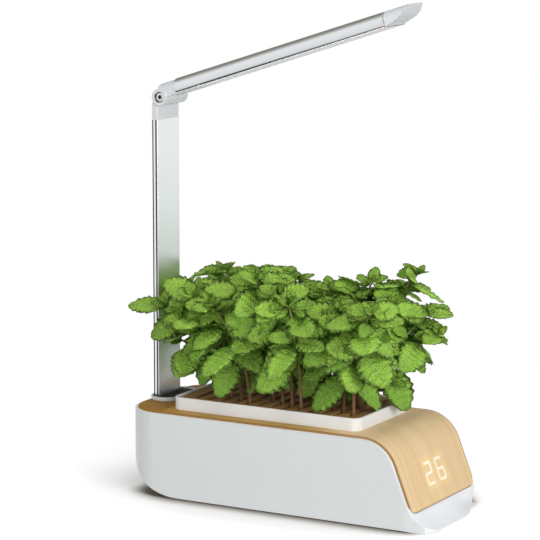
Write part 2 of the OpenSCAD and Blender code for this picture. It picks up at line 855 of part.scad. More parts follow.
// Block of growing sponge that fills the basket up to the grille
module grow_sponge() {
    g = basket_wall + sponge_gap;
    color("saddlebrown")
        block(basket_x0 + g, basket_x0 + basket_l - g, basket_w - 2 * g,
            basket_z + basket_wall, sponge_top_z, 1);
}

// ---- Plants ----------------------------------------------------------------------

stem_n = 2 * slot_n;
golden = 0.618034;
leaf_rim_gap = 5;

// Row of stem k, counted from the middle of the tray
function row_of(k) = floor(k / 2) - (slot_n - 1) / 2;
function side_of(k) = k % 2 == 0 ? -1 : 1;
function stem_foot(k) = [slot_x(floor(k / 2)), side_of(k) * neck_w * (0.05 + 0.32 * frac(k * golden)),
    sponge_top_z];
// How far the stem has leant and risen at its tip
function stem_reach(k) = [
    lean_step * (row_of(k) + 2.4 * (frac(k * 0.7549) - 0.5)),
    side_of(k) * plant_spread * (0.25 + frac(k * golden)),
    plant_h * (0.80 + 0.22 * frac(k * 0.4142) - 0.5 * pow(row_of(k) / slot_n, 2))];
function stem_at(k, t) = stem_foot(k)
    + [stem_reach(k)[0] * t * t, stem_reach(k)[1] * t * t, stem_reach(k)[2] * t];
// Height share, size, turn and lift of pair j
function pair_t(k, j) = 0.34 + 0.66 * (j + 1 - 0.5 * frac((k + j) * golden)) / leaf_pairs;
function pair_size(k, j) = leaf_l * (1.08 - 0.12 * j) * (0.85 + 0.3 * frac((k * 4 + j) * 0.7549));
function pair_turn(k, j) = 360 * frac(k * golden) + 90 * j;
function pair_lift(k, j) = -46 + 20 * j + 24 * (frac((k * 5 + j) * 0.5698) - 0.5);
function leaf_dir(turn, lift) = [cos(turn) * cos(lift), sin(turn) * cos(lift), sin(lift)];

// A leaf is left out where it would touch the post or the tray's rim, or reach too far out
function leaf_free(p, q) =
    (max(abs(q[1]), abs(p[1])) > post_w / 2 + leaf_post_gap
        || min(p[0], q[0]) > post_x0 + post_t + leaf_post_gap)
    && min(p[0], q[0]) > body_x0 && q[0] < nose_x + tray_from_brow
    && abs(q[1]) < body_w * 0.64
    && q[2] > tray_top_z + leaf_rim_gap && p[2] > tray_top_z + leaf_rim_gap;

module leaf(l) {
    translate([0, 0, -leaf_t / 2]) linear_extrude(height = leaf_t)
        polygon([for (c = [[0, 0], [0.38, 0.34], [1, 0], [0.38, -0.34]]) l * c]);
}

module stem(k) {
    steps = 3;
    for (i = [0:steps - 1]) {
        a = stem_at(k, i / steps);
        b = stem_at(k, (i + 1) / steps);
        d = b - a;
        translate(a) rotate([0, acos(d[2] / norm(d)), atan2(d[1], d[0])])
            cylinder(r = stem_r * (1 - 0.2 * i), h = norm(d) + 0.4, $fn = 6);
    }
}

// Mint plants: leaning stems through the slots, with crossed pairs of leaves
module mint_plants() {
    color("forestgreen") union() for (k = [0:stem_n - 1]) {
        stem(k);
        for (j = [0:leaf_pairs - 1], s = [0, 1]) {
            p = stem_at(k, pair_t(k, j));
            turn = pair_turn(k, j) + 180 * s;
            q = p + pair_size(k, j) * leaf_dir(turn, pair_lift(k, j));
            if (leaf_free(p, q))
                translate(p) rotate([0, -pair_lift(k, j), turn]) leaf(pair_size(k, j));
        }
    }
}

// ---- Lamp arm --------------------------------------------------------------------

// Frame of the arm: x along it from the hinge, z out of its upper side
module arm_frame() {
    translate([hinge_x, 0, hinge_z]) rotate([0, -arm_angle, 0]) children();
}

// Arched cross-section of the arm, shrunk by d and cut off below z0
module arm_section(d, z0) {
    w = arm_w - 2 * d;
    top = arm_z0 + arm_t - d;
    difference() {
        translate([-w / 2, z0]) square([w, top - z0]);
        for (s = [0, 1]) mirror([s, 0]) translate([-w / 2, top]) mirror([0, 1])
            corner_waste(arm_edge_r - d);
    }
}

// Band below the slot, with a narrower core that reaches up into the housing
module band_section(core_z1) {
    translate([-band_w / 2, arm_z0]) square([band_w, band_h]);
    translate([-diffuser_w / 2, arm_z0]) square([diffuser_w, core_z1 - arm_z0]);
}

module along_arm(x0, x1) {
    translate([x0, 0, 0]) rotate([90, 0, 90]) linear_extrude(height = x1 - x0) children();
}

module arm_barrel(r, w, y = 0) {
    translate([0, y, 0]) rotate([90, 0, 0]) cylinder(r = r, h = w, center = true);
}

// Pie piece between two directions
module wedge(a0, a1) {
    mid = (a0 + a1) / 2;
    polygon([[0, 0], for (a = [a0, (a0 + mid) / 2, mid, (a1 + mid) / 2, a1])
        3 * barrel_r * [cos(a), sin(a)]]);
}

// Barrel and root block of the arm: cheeks, room for the tongue and a hex pocket
module hinge_yoke() {
    inner = tongue_w + 2 * washer_t;
    color("white") arm_frame() difference() {
        union() {
            arm_barrel(barrel_r, arm_w);
            intersection() {
                across(arm_w - 1.2) difference() {
                    polygon([[0, barrel_r], [0, arm_z0 + arm_t], [root_l, arm_z0 + arm_t],
                        [root_l, arm_z0], [barrel_r * 0.9, arm_z0], [0, 0]]);
                    translate([0, arm_z0 + arm_t]) mirror([0, 1])
                        corner_waste(arm_t - barrel_r + arm_z0);
                }
                along_arm(-barrel_r, root_l + 0.1) arm_section(0.6, arm_z0);
            }
            // Spigot that fills the housing's open underside beside the root
            along_arm(root_l - 0.1, led_x0 - fit) band_section(led_z - seat);
        }
        each_arm_screw() {
            cylinder(r = 1.5 + fit, h = arm_t / 2 + 1);
            cylinder(r = 2.4 + fit, h = 1.6);
        }
        // Room for the tongue and the way its neck sweeps through the barrel's skin
        arm_barrel(tongue_r + 0.4, inner);
        across(inner) intersection() {
            circle(barrel_r + 2);
            wedge(neck_lo - arm_angle - arm_up - sweep_spare, neck_hi + sweep_spare);
        }
        arm_barrel(bolt_r + run_fit, arm_w + 2);
        for (s = [-1, 1]) translate([0, s * (arm_w / 2 + cut), 0]) rotate([90 * s, 0, 0])
            cylinder(r = pocket_d / 2, h = pocket_depth + cut, $fn = 6);
    }
}

// Socket-headed bolt through the barrel
module hinge_bolt() {
    y0 = -arm_w / 2 + pocket_depth;
    color("silver") arm_frame() difference() {
        union() {
            translate([0, y0, 0]) rotate([-90, 0, 0])
                cylinder(r = bolt_r, h = arm_w - pocket_depth - 1.5);
            translate([0, y0, 0]) rotate([90, 0, 0]) cylinder(r = 3.6, h = 2.6);
        }
        translate([0, y0 - 1, 0]) rotate([90, 0, 0]) cylinder(r = 1.7, h = 2, $fn = 6);
    }
}

// Nut in the far pocket
module hinge_nut() {
    color("silver") arm_frame() translate([0, arm_w / 2 - pocket_depth, 0])
        rotate([-90, 0, 0]) difference() {
            cylinder(r = pocket_d / 2 - 0.3, h = 2.6, $fn = 6);
            translate([0, 0, -cut]) cylinder(r = bolt_r + run_fit, h = 5);
        }
}

// Aluminium housing: an arched channel whose walls end at the slot
module arm_housing() {
    color("silver") arm_frame() along_arm(root_l, root_l + housing_l) difference() {
        arm_section(0, slot_z1);
        arm_section(skin, slot_z1 - cut);
    }
}

led_x0 = root_l + blank_l;
led_x1 = root_l + housing_l - 4;
trim_w = (band_w - diffuser_w) / 2 - 0.1;

// Board that carries the LED chips, against the shoulders of the channel
module led_board() {
    w = arm_w - 2 * skin - 1.6;
    color("white") arm_frame() translate([0, 0, led_z])
        block(led_x0, led_x1, w, 0, led_board_t);
}

module led_chips() {
    pitch = (led_x1 - led_x0) / led_n;
    color("gold") arm_frame() for (i = [0:led_n - 1], s = [-1, 1])
        translate([led_x0 + (i + 0.5) * pitch, s * arm_w / 5, led_z - 0.4])
            cube([3, 3, 0.8], center = true);
}

// Milky cover over the LEDs: a band below the slot, with side walls up to the board
module diffuser() {
    x1 = root_l + housing_l;
    color("white") arm_frame() {
        along_arm(led_x0, x1) difference() {
            band_section(led_z);
            translate([-diffuser_w / 2 + skin, arm_z0 + diffuser_t])
                square([diffuser_w - 2 * skin, led_z - arm_z0]);
        }
        // Tab that closes the slot at its start
        along_arm(led_x0, led_x0 + 2) translate([-band_w / 2, arm_z0])
            square([band_w, slot_z1 - arm_z0]);
    }
}

// Dark seal that fills the slot on each side of the diffuser
module slot_trim() {
    color("black") arm_frame() along_arm(led_x0 + 2.1, root_l + housing_l - 3)
        for (s = [-1, 1]) translate([s * (diffuser_w + trim_w + fit) / 2, (band_z1 + slot_z1) / 2])
            square([trim_w, slot_h - fit / 2], center = true);
}

module indicator_led() {
    color("red") arm_frame() translate([root_l + housing_l - 1.4,
        -(diffuser_w + trim_w + fit) / 2, (band_z1 + slot_z1) / 2])
        cube([2, trim_w, slot_h - fit / 2], center = true);
}

// Underside of the nose, in shares of the cap's length and the arm's height
nose_curve = [[0, 0], [0.09, 0.09], [0.22, 0.16], [0.43, 0.245], [0.53, 0.295], [0.63, 0.385],
    [0.74, 0.525], [0.84, 0.68], [0.92, 0.82], [0.98, 0.92], [1, 0.96], [0.99, 0.985],
    [0.94, 0.998], [0.86, 1.001]];

// End cap: the arm's section run out to a nose whose underside sweeps up in an S
module arm_tip_cap() {
    x0 = arm_l - tip_l;
    color("white") arm_frame() {
        intersection() {
            along_arm(x0, arm_l) arm_section(0, arm_z0);
            across(arm_w) polygon([[x0 - cut, arm_z0 + arm_t + cut], [x0 - cut, arm_z0 - cut],
                [x0, arm_z0 - cut], for (p = nose_curve) [x0 + p[0] * tip_l, arm_z0 + p[1] * arm_t]]);
        }
        along_arm(x0 - 8, x0 + 0.1) arm_section(skin + fit, led_z + led_board_t + seat);
    }
}

module each_arm_screw() {
    for (s = [-1, 1]) translate([(root_l + led_x0) / 2, s * arm_w / 4, arm_z0 - 0.1])
        children();
}

// Screws that hold the root block in the housing
module arm_screws() {
    color("silver") arm_frame() each_arm_screw() {
        translate([0, 0, 0.3]) cylinder(r = 2.4, h = 1.2);
        translate([0, 0, 1.4]) cylinder(r = 1.5, h = arm_t / 2 - 1.2);
    }
}

body_shell();
bottom_plate();
rubber_feet();
base_screws();
water_tank();
pump();
riser_tube();
power_inlet();
display_bracket();
control_board();
display_module();
rear_deck();
lamp_collar();
collar_gasket();
lamp_bracket();
lamp_screws();
lamp_post();
mirror_strip();
post_cap();
friction_washers();
front_cover();
cover_liner();
display_digits();
tray_frame();
grille();
grow_basket();
grow_sponge();
mint_plants();
hinge_yoke();
hinge_bolt();
hinge_nut();
arm_housing();
led_board();
led_chips();
diffuser();
slot_trim();
indicator_led();
arm_tip_cap();
arm_screws();
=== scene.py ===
# %% [markdown]
# # Dressing a countertop hydroponic garden
#
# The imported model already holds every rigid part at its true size: the moulded tub, the
# bent wooden cover, the seedling tray, the lamp on its post and what is inside. This lesson
# gives those parts the finishes and fine edges that the eye expects, and grows a bed of mint
# in the tray. Everything is in metres, with +X towards the display end and +Z up.

import json
import math

import bmesh
import bpy
import numpy as np
from mathutils import Matrix, Vector


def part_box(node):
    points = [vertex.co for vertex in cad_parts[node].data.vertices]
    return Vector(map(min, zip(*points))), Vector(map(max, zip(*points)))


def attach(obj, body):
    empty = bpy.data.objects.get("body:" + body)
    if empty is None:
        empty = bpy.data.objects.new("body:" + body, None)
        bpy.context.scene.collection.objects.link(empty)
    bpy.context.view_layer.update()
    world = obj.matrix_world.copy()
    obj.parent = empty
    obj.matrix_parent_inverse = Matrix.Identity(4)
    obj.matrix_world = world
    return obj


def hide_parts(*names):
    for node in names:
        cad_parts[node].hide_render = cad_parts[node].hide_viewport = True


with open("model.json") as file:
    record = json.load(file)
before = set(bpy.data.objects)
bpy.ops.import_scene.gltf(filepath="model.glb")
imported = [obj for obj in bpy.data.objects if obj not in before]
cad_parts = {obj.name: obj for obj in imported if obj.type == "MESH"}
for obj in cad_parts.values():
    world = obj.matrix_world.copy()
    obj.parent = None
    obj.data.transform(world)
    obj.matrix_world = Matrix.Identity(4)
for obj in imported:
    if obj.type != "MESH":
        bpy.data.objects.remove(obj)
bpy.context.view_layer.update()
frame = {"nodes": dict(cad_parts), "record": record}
MM = 0.001
nodes = frame["nodes"]
body_of = {n: b for b, names in frame["record"]["behaviour"]["bodies"].items() for n in names}
slot_of = {s["node"]: s["material_slot"] for s in frame["record"]["subparts"]}
print("parts:", len(nodes), "bodies:", sorted(set(body_of.values())))

# %% [markdown]
# ## The camera
#
# A long lens from far away keeps the tub's long edges almost parallel, as a catalogue
# picture does. It is placed first, so that every later choice is judged through it.

# %% Place the camera
lens = bpy.data.cameras.new("studio_camera")
lens.sensor_width = 36.0
lens.lens = 179.5
camera = bpy.data.objects.new("studio_camera", lens)
camera.location = (1.0335, -1.8865, 0.5532)
camera.rotation_euler = (math.radians(80.39), 0.0, math.radians(29.5))
bpy.context.scene.collection.objects.link(camera)
bpy.context.scene.camera = camera
bpy.context.scene.view_settings.view_transform = "Standard"
print("camera height:", camera.location.z)

# %% [markdown]
# ## Shader maths that reads like maths
#
# A finish is built from many small node sums. Wrapping a socket in a class with Python's
# operators turns `mask * 0.5 + 0.2` into the Math nodes it stands for, which keeps each
# finish to a few lines that say what it does.


# %% Wrap a socket
class Sock:
    """One value inside a material, ready for ordinary arithmetic."""

    def __init__(self, tree, socket):
        self.tree, self.socket = tree, socket

    def op(self, kind, *others, clamp=False):
        node = self.tree.nodes.new("ShaderNodeMath")
        node.operation, node.use_clamp = kind, clamp
        for place, value in zip(node.inputs, (self,) + others):
            if isinstance(value, Sock):
                self.tree.links.new(value.socket, place)
            else:
                place.default_value = value
        return Sock(self.tree, node.outputs[0])

    def __add__(self, other):
        return self.op("ADD", other)

    def __sub__(self, other):
        return self.op("SUBTRACT", other)

    def __rsub__(self, other):
        return self.op("MULTIPLY_ADD", -1.0, other)

    def __mul__(self, other):
        return self.op("MULTIPLY", other)

    def __truediv__(self, other):
        return self.op("DIVIDE", other)

    __radd__ = __add__
    __rmul__ = __mul__

    def rise(self, low, high):
        """Smooth step from 0 at low to 1 at high."""
        node = self.tree.nodes.new("ShaderNodeMapRange")
        node.interpolation_type = "SMOOTHSTEP"
        self.tree.links.new(self.socket, node.inputs["Value"])
        node.inputs["From Min"].default_value = low
        node.inputs["From Max"].default_value = high
        return Sock(self.tree, node.outputs["Result"])


# %% Build a finish
class Finish:
    """A material with a Principled shader at its end."""

    def __init__(self, name, fixed):
        self.mat = bpy.data.materials.new(name)
        self.mat.use_nodes = True
        self.tree = self.mat.node_tree
        self.shader = self.tree.nodes["Principled BSDF"]
        for socket, value in fixed.items():
            self.shader.inputs[socket].default_value = value
        self.place = self.node("ShaderNodeTexCoord", out="Object")

    def node(self, kind, settings=None, values=None, out=0):
        made = self.tree.nodes.new(kind)
        for key, value in (settings or {}).items():
            if key == "stops":
                fill_ramp(made.color_ramp, value)
            else:
                setattr(made, key, value)
        for key, value in (values or {}).items():
            self.feed(made.inputs[key], value)
        return Sock(self.tree, made.outputs[out])

    def feed(self, socket, value):
        if isinstance(value, Sock):
            self.tree.links.new(value.socket, socket)
        elif hasattr(value, "__len__") and len(value) == 3 and socket.type == "RGBA":
            socket.default_value = (*value, 1.0)
        else:
            socket.default_value = value

    def set(self, **links):
        names = {"colour": "Base Color", "rough": "Roughness", "metal": "Metallic",
                 "glow": "Emission Color", "normal": "Normal", "coat": "Coat Weight"}
        for key, value in links.items():
            self.feed(self.shader.inputs[names[key]], value)

    def parts(self, vector):
        made = self.tree.nodes.new("ShaderNodeSeparateXYZ")
        self.feed(made.inputs[0], vector)
        return [Sock(self.tree, s) for s in made.outputs]

    def vector(self, x, y, z):
        return self.node("ShaderNodeCombineXYZ", None, {0: x, 1: y, 2: z})

    def stretched(self, vector, factors):
        return self.node("ShaderNodeVectorMath", {"operation": "MULTIPLY"},
                         {0: vector, 1: factors})

    def noise(self, vector, scale=1.0, detail=2.0, rough=0.5):
        return self.node("ShaderNodeTexNoise", None,
                         {"Vector": vector, "Scale": scale, "Detail": detail,
                          "Roughness": rough})

    def mix(self, share, a, b):
        return self.node("ShaderNodeMix", {"data_type": "RGBA"}, {0: share, 6: a, 7: b}, out=2)

    def ramp(self, value, stops):
        return self.node("ShaderNodeValToRGB", {"stops": stops}, {0: value})

    def bump(self, height, depth, strength=1.0):
        return self.node("ShaderNodeBump", None,
                         {"Height": height, "Distance": depth, "Strength": strength})


def fill_ramp(ramp, stops):
    ramp.elements[0].position, ramp.elements[1].position = stops[0][0], stops[-1][0]
    for position, _ in stops[1:-1]:
        ramp.elements.new(position)
    for element, (_, colour) in zip(ramp.elements, stops):
        element.color = (*colour, 1.0)


print("Finish has", len([m for m in dir(Finish) if not m.startswith("_")]), "helpers")

# %% [markdown]
# ## The studio
#
# The garden stands on a white floor under soft light. A strong low lamp from the display
# end lights the wooden face, weaker ones fill the long side, the leaves and the back, and
# the sky gets darker towards its top, so that upward faces stay calm. The camera sees the
# sky as pure white.


# %% Light the stage
def area_lamp(name, place, target, size, watts, shines=False):
    lamp = bpy.data.lights.new(name, "AREA")
    lamp.shape, lamp.size, lamp.energy = "SQUARE", size, watts
    made = bpy.data.objects.new(name, lamp)
    made.location = place
    made.rotation_euler = (Vector(target) - Vector(place)).to_track_quat("-Z", "Y").to_euler()
    made.visible_glossy = shines
    bpy.context.scene.collection.objects.link(made)
    return made


area_lamp("key_lamp", (1.15, -0.5, 0.5), (0.0, 0.0, 0.1), 0.7, 9.5, True)
area_lamp("side_fill", (-0.5, -1.6, 0.6), (0.0, 0.0, 0.12), 1.2, 6.0)
area_lamp("leaf_lamp", (0.1, -0.5, 1.1), (0.0, 0.0, 0.15), 0.5, 2.6)
area_lamp("back_fill", (-1.2, 1.1, 0.7), (0.0, 0.0, 0.1), 0.8, 7.0)

# %% [markdown]
# ## What the metal mirrors
#
# Polished metal has little look of its own: it shows what stands round it. A studio sets
# dark cards about the object, so that a bar gets a dark edge beside a bright one. Here a
# band of the sky is darker and a little green, for glossy rays only. Like any studio card
# it belongs to this picture and not to the object.

# %% Colour the sky
world = bpy.data.worlds.new("studio_sky")
world.use_nodes = True
bpy.context.scene.world = world
sky = world.node_tree
background = sky.nodes["Background"]


def sky_node(kind, out=0):
    made = sky.nodes.new(kind)
    return made, Sock(sky, made.outputs[out])


rays = sky.nodes.new("ShaderNodeLightPath")
direct = Sock(sky, rays.outputs["Is Camera Ray"])
mirrored = Sock(sky, rays.outputs["Is Glossy Ray"])
split, _ = sky_node("ShaderNodeSeparateXYZ")
around, aim = sky_node("ShaderNodeTexCoord", "Generated")
sky.links.new(aim.socket, split.inputs[0])
up = Sock(sky, split.outputs["Z"])
height = up.rise(0.0, 0.9)
soft = 0.62 - height * 0.40
low_sky = up.rise(0.03, 0.16)
high_sky = up.rise(0.70, 0.90)
behind = Sock(sky, split.outputs["Y"]).rise(-0.45, 0.12)
sky_card = low_sky * (1.0 - high_sky) * behind
shiny = 0.97 - sky_card * 0.76
level = direct + (1.0 - direct) * (mirrored * shiny + (1.0 - mirrored) * soft)
sky.links.new(level.socket, background.inputs["Strength"])
tint, sky_colour = sky_node("ShaderNodeMix", 2)
tint.data_type = "RGBA"
sky.links.new((mirrored * sky_card).socket, tint.inputs[0])
tint.inputs[6].default_value = (1.0, 1.0, 1.0, 1.0)
tint.inputs[7].default_value = (1.0, 0.97, 0.80, 1.0)
sky.links.new(sky_colour.socket, background.inputs["Color"])

# %% [markdown]
# ## A white floor with a painted contact shadow
#
# The camera should see white paper with a soft dark line where the tub comes down. That
# line is painted shadow on top of the lamps' own: the paper's glow, and for the camera its
# colour too, is held back where the tub hides the open sky, which the Ambient Occlusion
# node measures over a short reach for the contact line and a longer one for its fall-off.
# The painted shade reaches further behind the heel and is left out in front of the toe,
# where the key lamp would wash it away. A dark green card lies on the floor beyond the
# object, for glossy rays only. It darkens the lower part of the mirror strip, which the
# plants alone don't fill, and like the sky's card it isn't part of the object.

# %% Lay the floor
floor_mesh = bpy.data.meshes.new("studio_floor")
reach = 30.0
floor_mesh.from_pydata([(-reach, -reach, 0), (reach, -reach, 0), (reach, reach, 0),
                        (-reach, reach, 0)], [], [(0, 1, 2, 3)])
floor = bpy.data.objects.new("studio_floor", floor_mesh)
bpy.context.scene.collection.objects.link(floor)
paper = Finish("floor_paper", {"Roughness": 0.9, "Specular IOR Level": 0.0})
px, py, _ = paper.parts(paper.place)
far = (px * px + py * py).op("SQRT").rise(0.28, 0.60)
seen = paper.node("ShaderNodeLightPath", out="Is Camera Ray")
shone = paper.node("ShaderNodeLightPath", out="Is Glossy Ray")


def paper_glow(strength):
    made = paper.node("ShaderNodeEmission", None, {"Color": (1.0, 1.0, 1.0)})
    paper.feed(made.socket.node.inputs["Strength"], strength)
    return made


def paper_join(kind, first, second, share=None):
    made = paper.tree.nodes.new(kind)
    places = list(made.inputs)[-2:]
    paper.tree.links.new(first, places[0])
    paper.tree.links.new(second, places[1])
    if share is not None:
        paper.tree.links.new(share.socket, made.inputs[0])
    return made.outputs[0]


def closeness(reach, low, high):
    """0 where something stands within reach of the floor, 1 under open sky."""
    open_sky = paper.node("ShaderNodeAmbientOcclusion", {"samples": 24}, {"Distance": reach},
                          out="AO")
    return open_sky.rise(low, high)


# Painted shadow: behind the heel, a wider shade is laid by place.
left_shade = (1.0 - closeness(0.32, 0.45, 1.0)) * (px * -1.0).rise(0.09, 0.19)
lit = closeness(0.026, 0.42, 0.94) * 0.62 + closeness(0.10, 0.50, 1.0) * 0.38
lit = (lit * (1.0 - left_shade * 0.34)).op("MAXIMUM", px.rise(0.118, 0.142))
fibres = paper.mix(paper.noise(paper.place, 900.0), (0.72,) * 3, (0.74,) * 3)
# Painted shadow: the camera sees the paper's colour, and below its glow, held back where lit is
# low.
shaded = paper.mix(lit, (0.16, 0.13, 0.10), fibres)
paper.set(colour=paper.mix(seen, (0.56, 0.556, 0.55), shaded))
near_paper = paper_join("ShaderNodeAddShader", paper.shader.outputs[0],
                        paper_glow(seen * lit * 0.58).socket)
floor_card = paper.ramp(py.rise(0.30, 1.60), [
    (0.0, (0.02, 0.03, 0.008)), (0.22, (0.16, 0.21, 0.10)), (0.36, (0.50, 0.56, 0.45)),
    (0.60, (0.86, 0.88, 0.84)), (0.85, (1.0, 1.0, 1.0))])
beyond = paper.mix(shone * px.rise(0.0, 0.10) * py.rise(0.15, 0.35), (1.0, 1.0, 1.0),
                   floor_card)
shine = paper.node("ShaderNodeEmission", None, {"Color": beyond, "Strength": 1.0})
paper.tree.links.new(paper_join("ShaderNodeMixShader", near_paper, shine.socket,
                                shone.op("MAXIMUM", seen * far)),
                     paper.tree.nodes["Material Output"].inputs["Surface"])
floor_mesh.materials.append(paper.mat)
print("floor reaches", reach, "m")

# %% [markdown]
# ## Moulded plastic, rubber and metal
#
# Injection-moulded plastic is never quite smooth: the tool leaves a grain of a few tenths
# of a millimetre, and its gloss drifts slowly over a wall. One function makes all of them,
# from the colour, the gloss and how deep that grain is. Metals share a second function
# whose fine lines run one way, as a drawn or polished bar's do.
#
# Some shade is painted into a colour here. The tub's front apron and its rims are a
# lighter white than its sides, chosen by the way the surface faces, and the recesses that
# see little light are dark. This shortcut keeps the forms readable under very soft lamps,
# but a bake carries it into any other light. Deeper modelling would avoid that.


# %% Plastics
def moulded(name, colour, gloss, grain=1800.0, depth=0.00001, drift=0.03, fixed=None,
            front=None, shade=None):
    """front: a lighter colour painted as light on faces that look along +X, with a painted
    highlight on upward faces; shade: a mask of places painted dark as shade.
    """
    f = Finish(name, {"IOR": 1.5, **(fixed or {})})
    slow = f.noise(f.place, 22.0, 3.0)
    fine = f.noise(f.place, grain, 2.0)
    pale = tuple(min(1.0, c * (1.0 + drift)) for c in colour)
    dark = tuple(c * (1.0 - drift) for c in colour)
    tone = f.mix(slow, dark, pale)
    # Painted light: faces that look along +X, and the lifted toe, take the lighter front colour.
    if front:
        facing = f.node("ShaderNodeNewGeometry", out="Normal")
        ahead, _, lifted = f.parts(facing)
        toe = f.parts(f.place)[0].rise(0.105, 0.112) * lifted.rise(0.10, 0.25)
        tone = f.mix(ahead.rise(0.42, 0.56).op("MAXIMUM", toe), tone, front)
        # Painted highlight: upward faces above the skirt turn near white.
        upper = f.parts(f.place)[2].rise(0.022, 0.030)
        tone = f.mix(lifted.rise(0.15, 0.55) * upper, tone, (0.97, 0.97, 0.965))
    # Painted shade: the shade mask darkens the places that see little light.
    if shade:
        tone = f.mix(shade(f), tone, (0.05, 0.05, 0.045))
    f.set(colour=tone, rough=gloss + slow * 0.08 + fine * 0.05, normal=f.bump(fine, depth))
    return f.mat


finish = {
    # The tub's two whites are lit and shaded copies of one plastic, as painted light: the greyer
    # one on its sides, the paler one where it faces along +X.
    "shell_white": moulded("satin_white_tub", (0.755, 0.785, 0.785), 0.30, 1500.0, 0.000008, 0.01,
                           front=(0.90, 0.94, 0.985)),
    "plate_white": moulded("matt_white_plate", (0.76, 0.77, 0.77), 0.45, 1200.0, 0.00002),
    "foot_rubber": moulded("grey_rubber", (0.05, 0.05, 0.052), 0.7, 900.0, 0.00005, 0.15),
    "tank_plastic": moulded("milky_tank", (0.70, 0.74, 0.75), 0.25, 700.0, 0.00002, 0.04),
    "pump_plastic": moulded("black_pump", (0.022, 0.024, 0.027), 0.42, 1400.0, 0.00003, 0.1),
    "tube_silicone": moulded("silicone_tube", (0.62, 0.66, 0.66), 0.28, 800.0, 0.00001, 0.05),
    "black_plastic": moulded("black_plastic", (0.016, 0.016, 0.017), 0.38, 1500.0, 0.00002, 0.1),
    "lamp_white": moulded("satin_white_lamp", (0.72, 0.74, 0.765), 0.32, 1700.0, 0.000006, 0.012),
    "gasket_rubber": moulded("black_seal", (0.012, 0.012, 0.012), 0.6, 1400.0, 0.00003, 0.1),
    "bracket_plastic": moulded("grey_bracket", (0.46, 0.47, 0.49), 0.5, 1200.0, 0.00003),
    "tray_white": moulded("satin_white_tray", (0.83, 0.83, 0.825), 0.36, 1600.0, 0.00001, 0.012),
    "basket_plastic": moulded("black_basket", (0.03, 0.03, 0.03), 0.5, 1100.0, 0.00004, 0.12),
    "led_board_white": moulded("white_board", (0.78, 0.79, 0.79), 0.42, 2400.0, 0.00001),
    "diffuser_milky": moulded("milky_diffuser", (0.86, 0.88, 0.90), 0.24, 900.0, 0.000006, 0.01),
}
print("plastics:", len(finish))


# %% Metals
def near_bolt(f, low, high):
    """1 round the hinge's axis, 0 beyond, for the recesses that see no light."""
    x, _, z = f.parts(f.place)
    x, z = x - HINGE[0], z - HINGE[1]
    return 1.0 - (x * x + z * z).op("SQRT").rise(low, high)


ARM_TILT = math.radians(17.8)


def arm_place(f):
    """Millimetres along the arm and square to it, from the hinge's axis."""
    x, _, z = f.parts(f.place)
    x, z = (x - HINGE[0]) / MM, (z - HINGE[1]) / MM
    run, rise = math.cos(ARM_TILT), math.sin(ARM_TILT)
    return x * run + z * rise, z * run - x * rise


def slot_shade(f):
    """Painted shade along the arm's lower edge at the slot, with a faint wider band above it;
    both fade towards the tip.
    """
    along, height = arm_place(f)
    line = (1.0 - height.rise(0.35, 1.3)) * (1.0 - along.rise(60.0, 230.0) * 0.65)
    return line.op("MAXIMUM", (1.0 - height.rise(0.5, 5.5)) * 0.16)


def cap_joint_shade(f):
    """Painted shade along the joint between the housing and its tip cap."""
    along, _ = arm_place(f)
    return (1.0 - along.rise(217.4, 218.0)) * 0.75


def post_groove_shade(f):
    """The two grooves down each narrow side of the post, as a mask for the painted shade in them.
    """
    x, y, _ = f.parts(f.place)
    x = (x - post_low.x) / MM
    first = x.rise(0.05, 0.25) - x.rise(1.15, 1.45)
    second = x.rise(3.1, 3.3) - x.rise(4.6, 4.9)
    return (first + second) * (y.op("ABSOLUTE") + 0.0012 - post_high.y).rise(0.0, 0.0004)


def drawn_metal(name, colour, gloss, along, depth=0.000004, fixed=None, shade=None):
    """along: how the fine lines stretch, small along the bar and large across it."""
    f = Finish(name, {"Metallic": 1.0, **(fixed or {})})
    lines = f.noise(f.stretched(f.place, along), 1.0, 3.0, 0.6)
    cloud = f.noise(f.place, 35.0, 2.0)
    tone = f.mix(lines, tuple(c * 0.93 for c in colour), colour)
    # Painted shade: the shade mask darkens the grooves, slot and recesses that see little light.
    if shade:
        tone = f.mix(shade(f), tone, (0.085, 0.090, 0.075))
    f.set(colour=tone, rough=gloss + lines * 0.10 + cloud * 0.04, normal=f.bump(lines, depth))
    return f.mat


post_low, post_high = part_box("lamp_post")
HINGE = [(low + high) / 2 for low, high in zip(*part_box("hinge_bolt"))][::2]
finish.update({
    "screw_steel": drawn_metal("zinc_screw", (0.62, 0.62, 0.60), 0.30, (900, 900, 900)),
    "post_aluminium": drawn_metal("anodised_post", (0.86, 0.88, 0.90), 0.20, (1800, 1800, 6),
                                  shade=post_groove_shade),
    "strip_mirror": drawn_metal("polished_strip", (0.93, 0.975, 0.98), 0.24, (900, 900, 4)),
    "washer_brass": drawn_metal("brass_washer", (0.72, 0.52, 0.22), 0.3, (1200, 1200, 1200)),
    "bolt_chrome": drawn_metal("chromed_bolt", (0.72, 0.73, 0.73), 0.16, (700, 700, 700),
                               shade=lambda f: near_bolt(f, 0.0016, 0.0020)),
    "arm_aluminium": drawn_metal("anodised_arm", (0.84, 0.86, 0.885), 0.24, (8, 1600, 8),
                                 shade=slot_shade),
})
print("metals added:", len(finish))


# %% [markdown]
# ## Small lit and electronic parts
#
# The boards get their solder-mask mottling, each LED its yellow phosphor window, and the
# indicator a deep red lens that glows a little.


# %% Electronics
def circuit_board(name, colour):
    f = Finish(name, {"Roughness": 0.35, "IOR": 1.5})
    x, y, z = f.parts(f.place)
    tracks = ((y * 2600.0).op("SINE") * (z * 2600.0).op("SINE")).rise(0.55, 0.75)
    f.set(colour=f.mix(tracks, colour, tuple(c * 1.7 for c in colour)),
          normal=f.bump(tracks, 0.00003))
    return f.mat


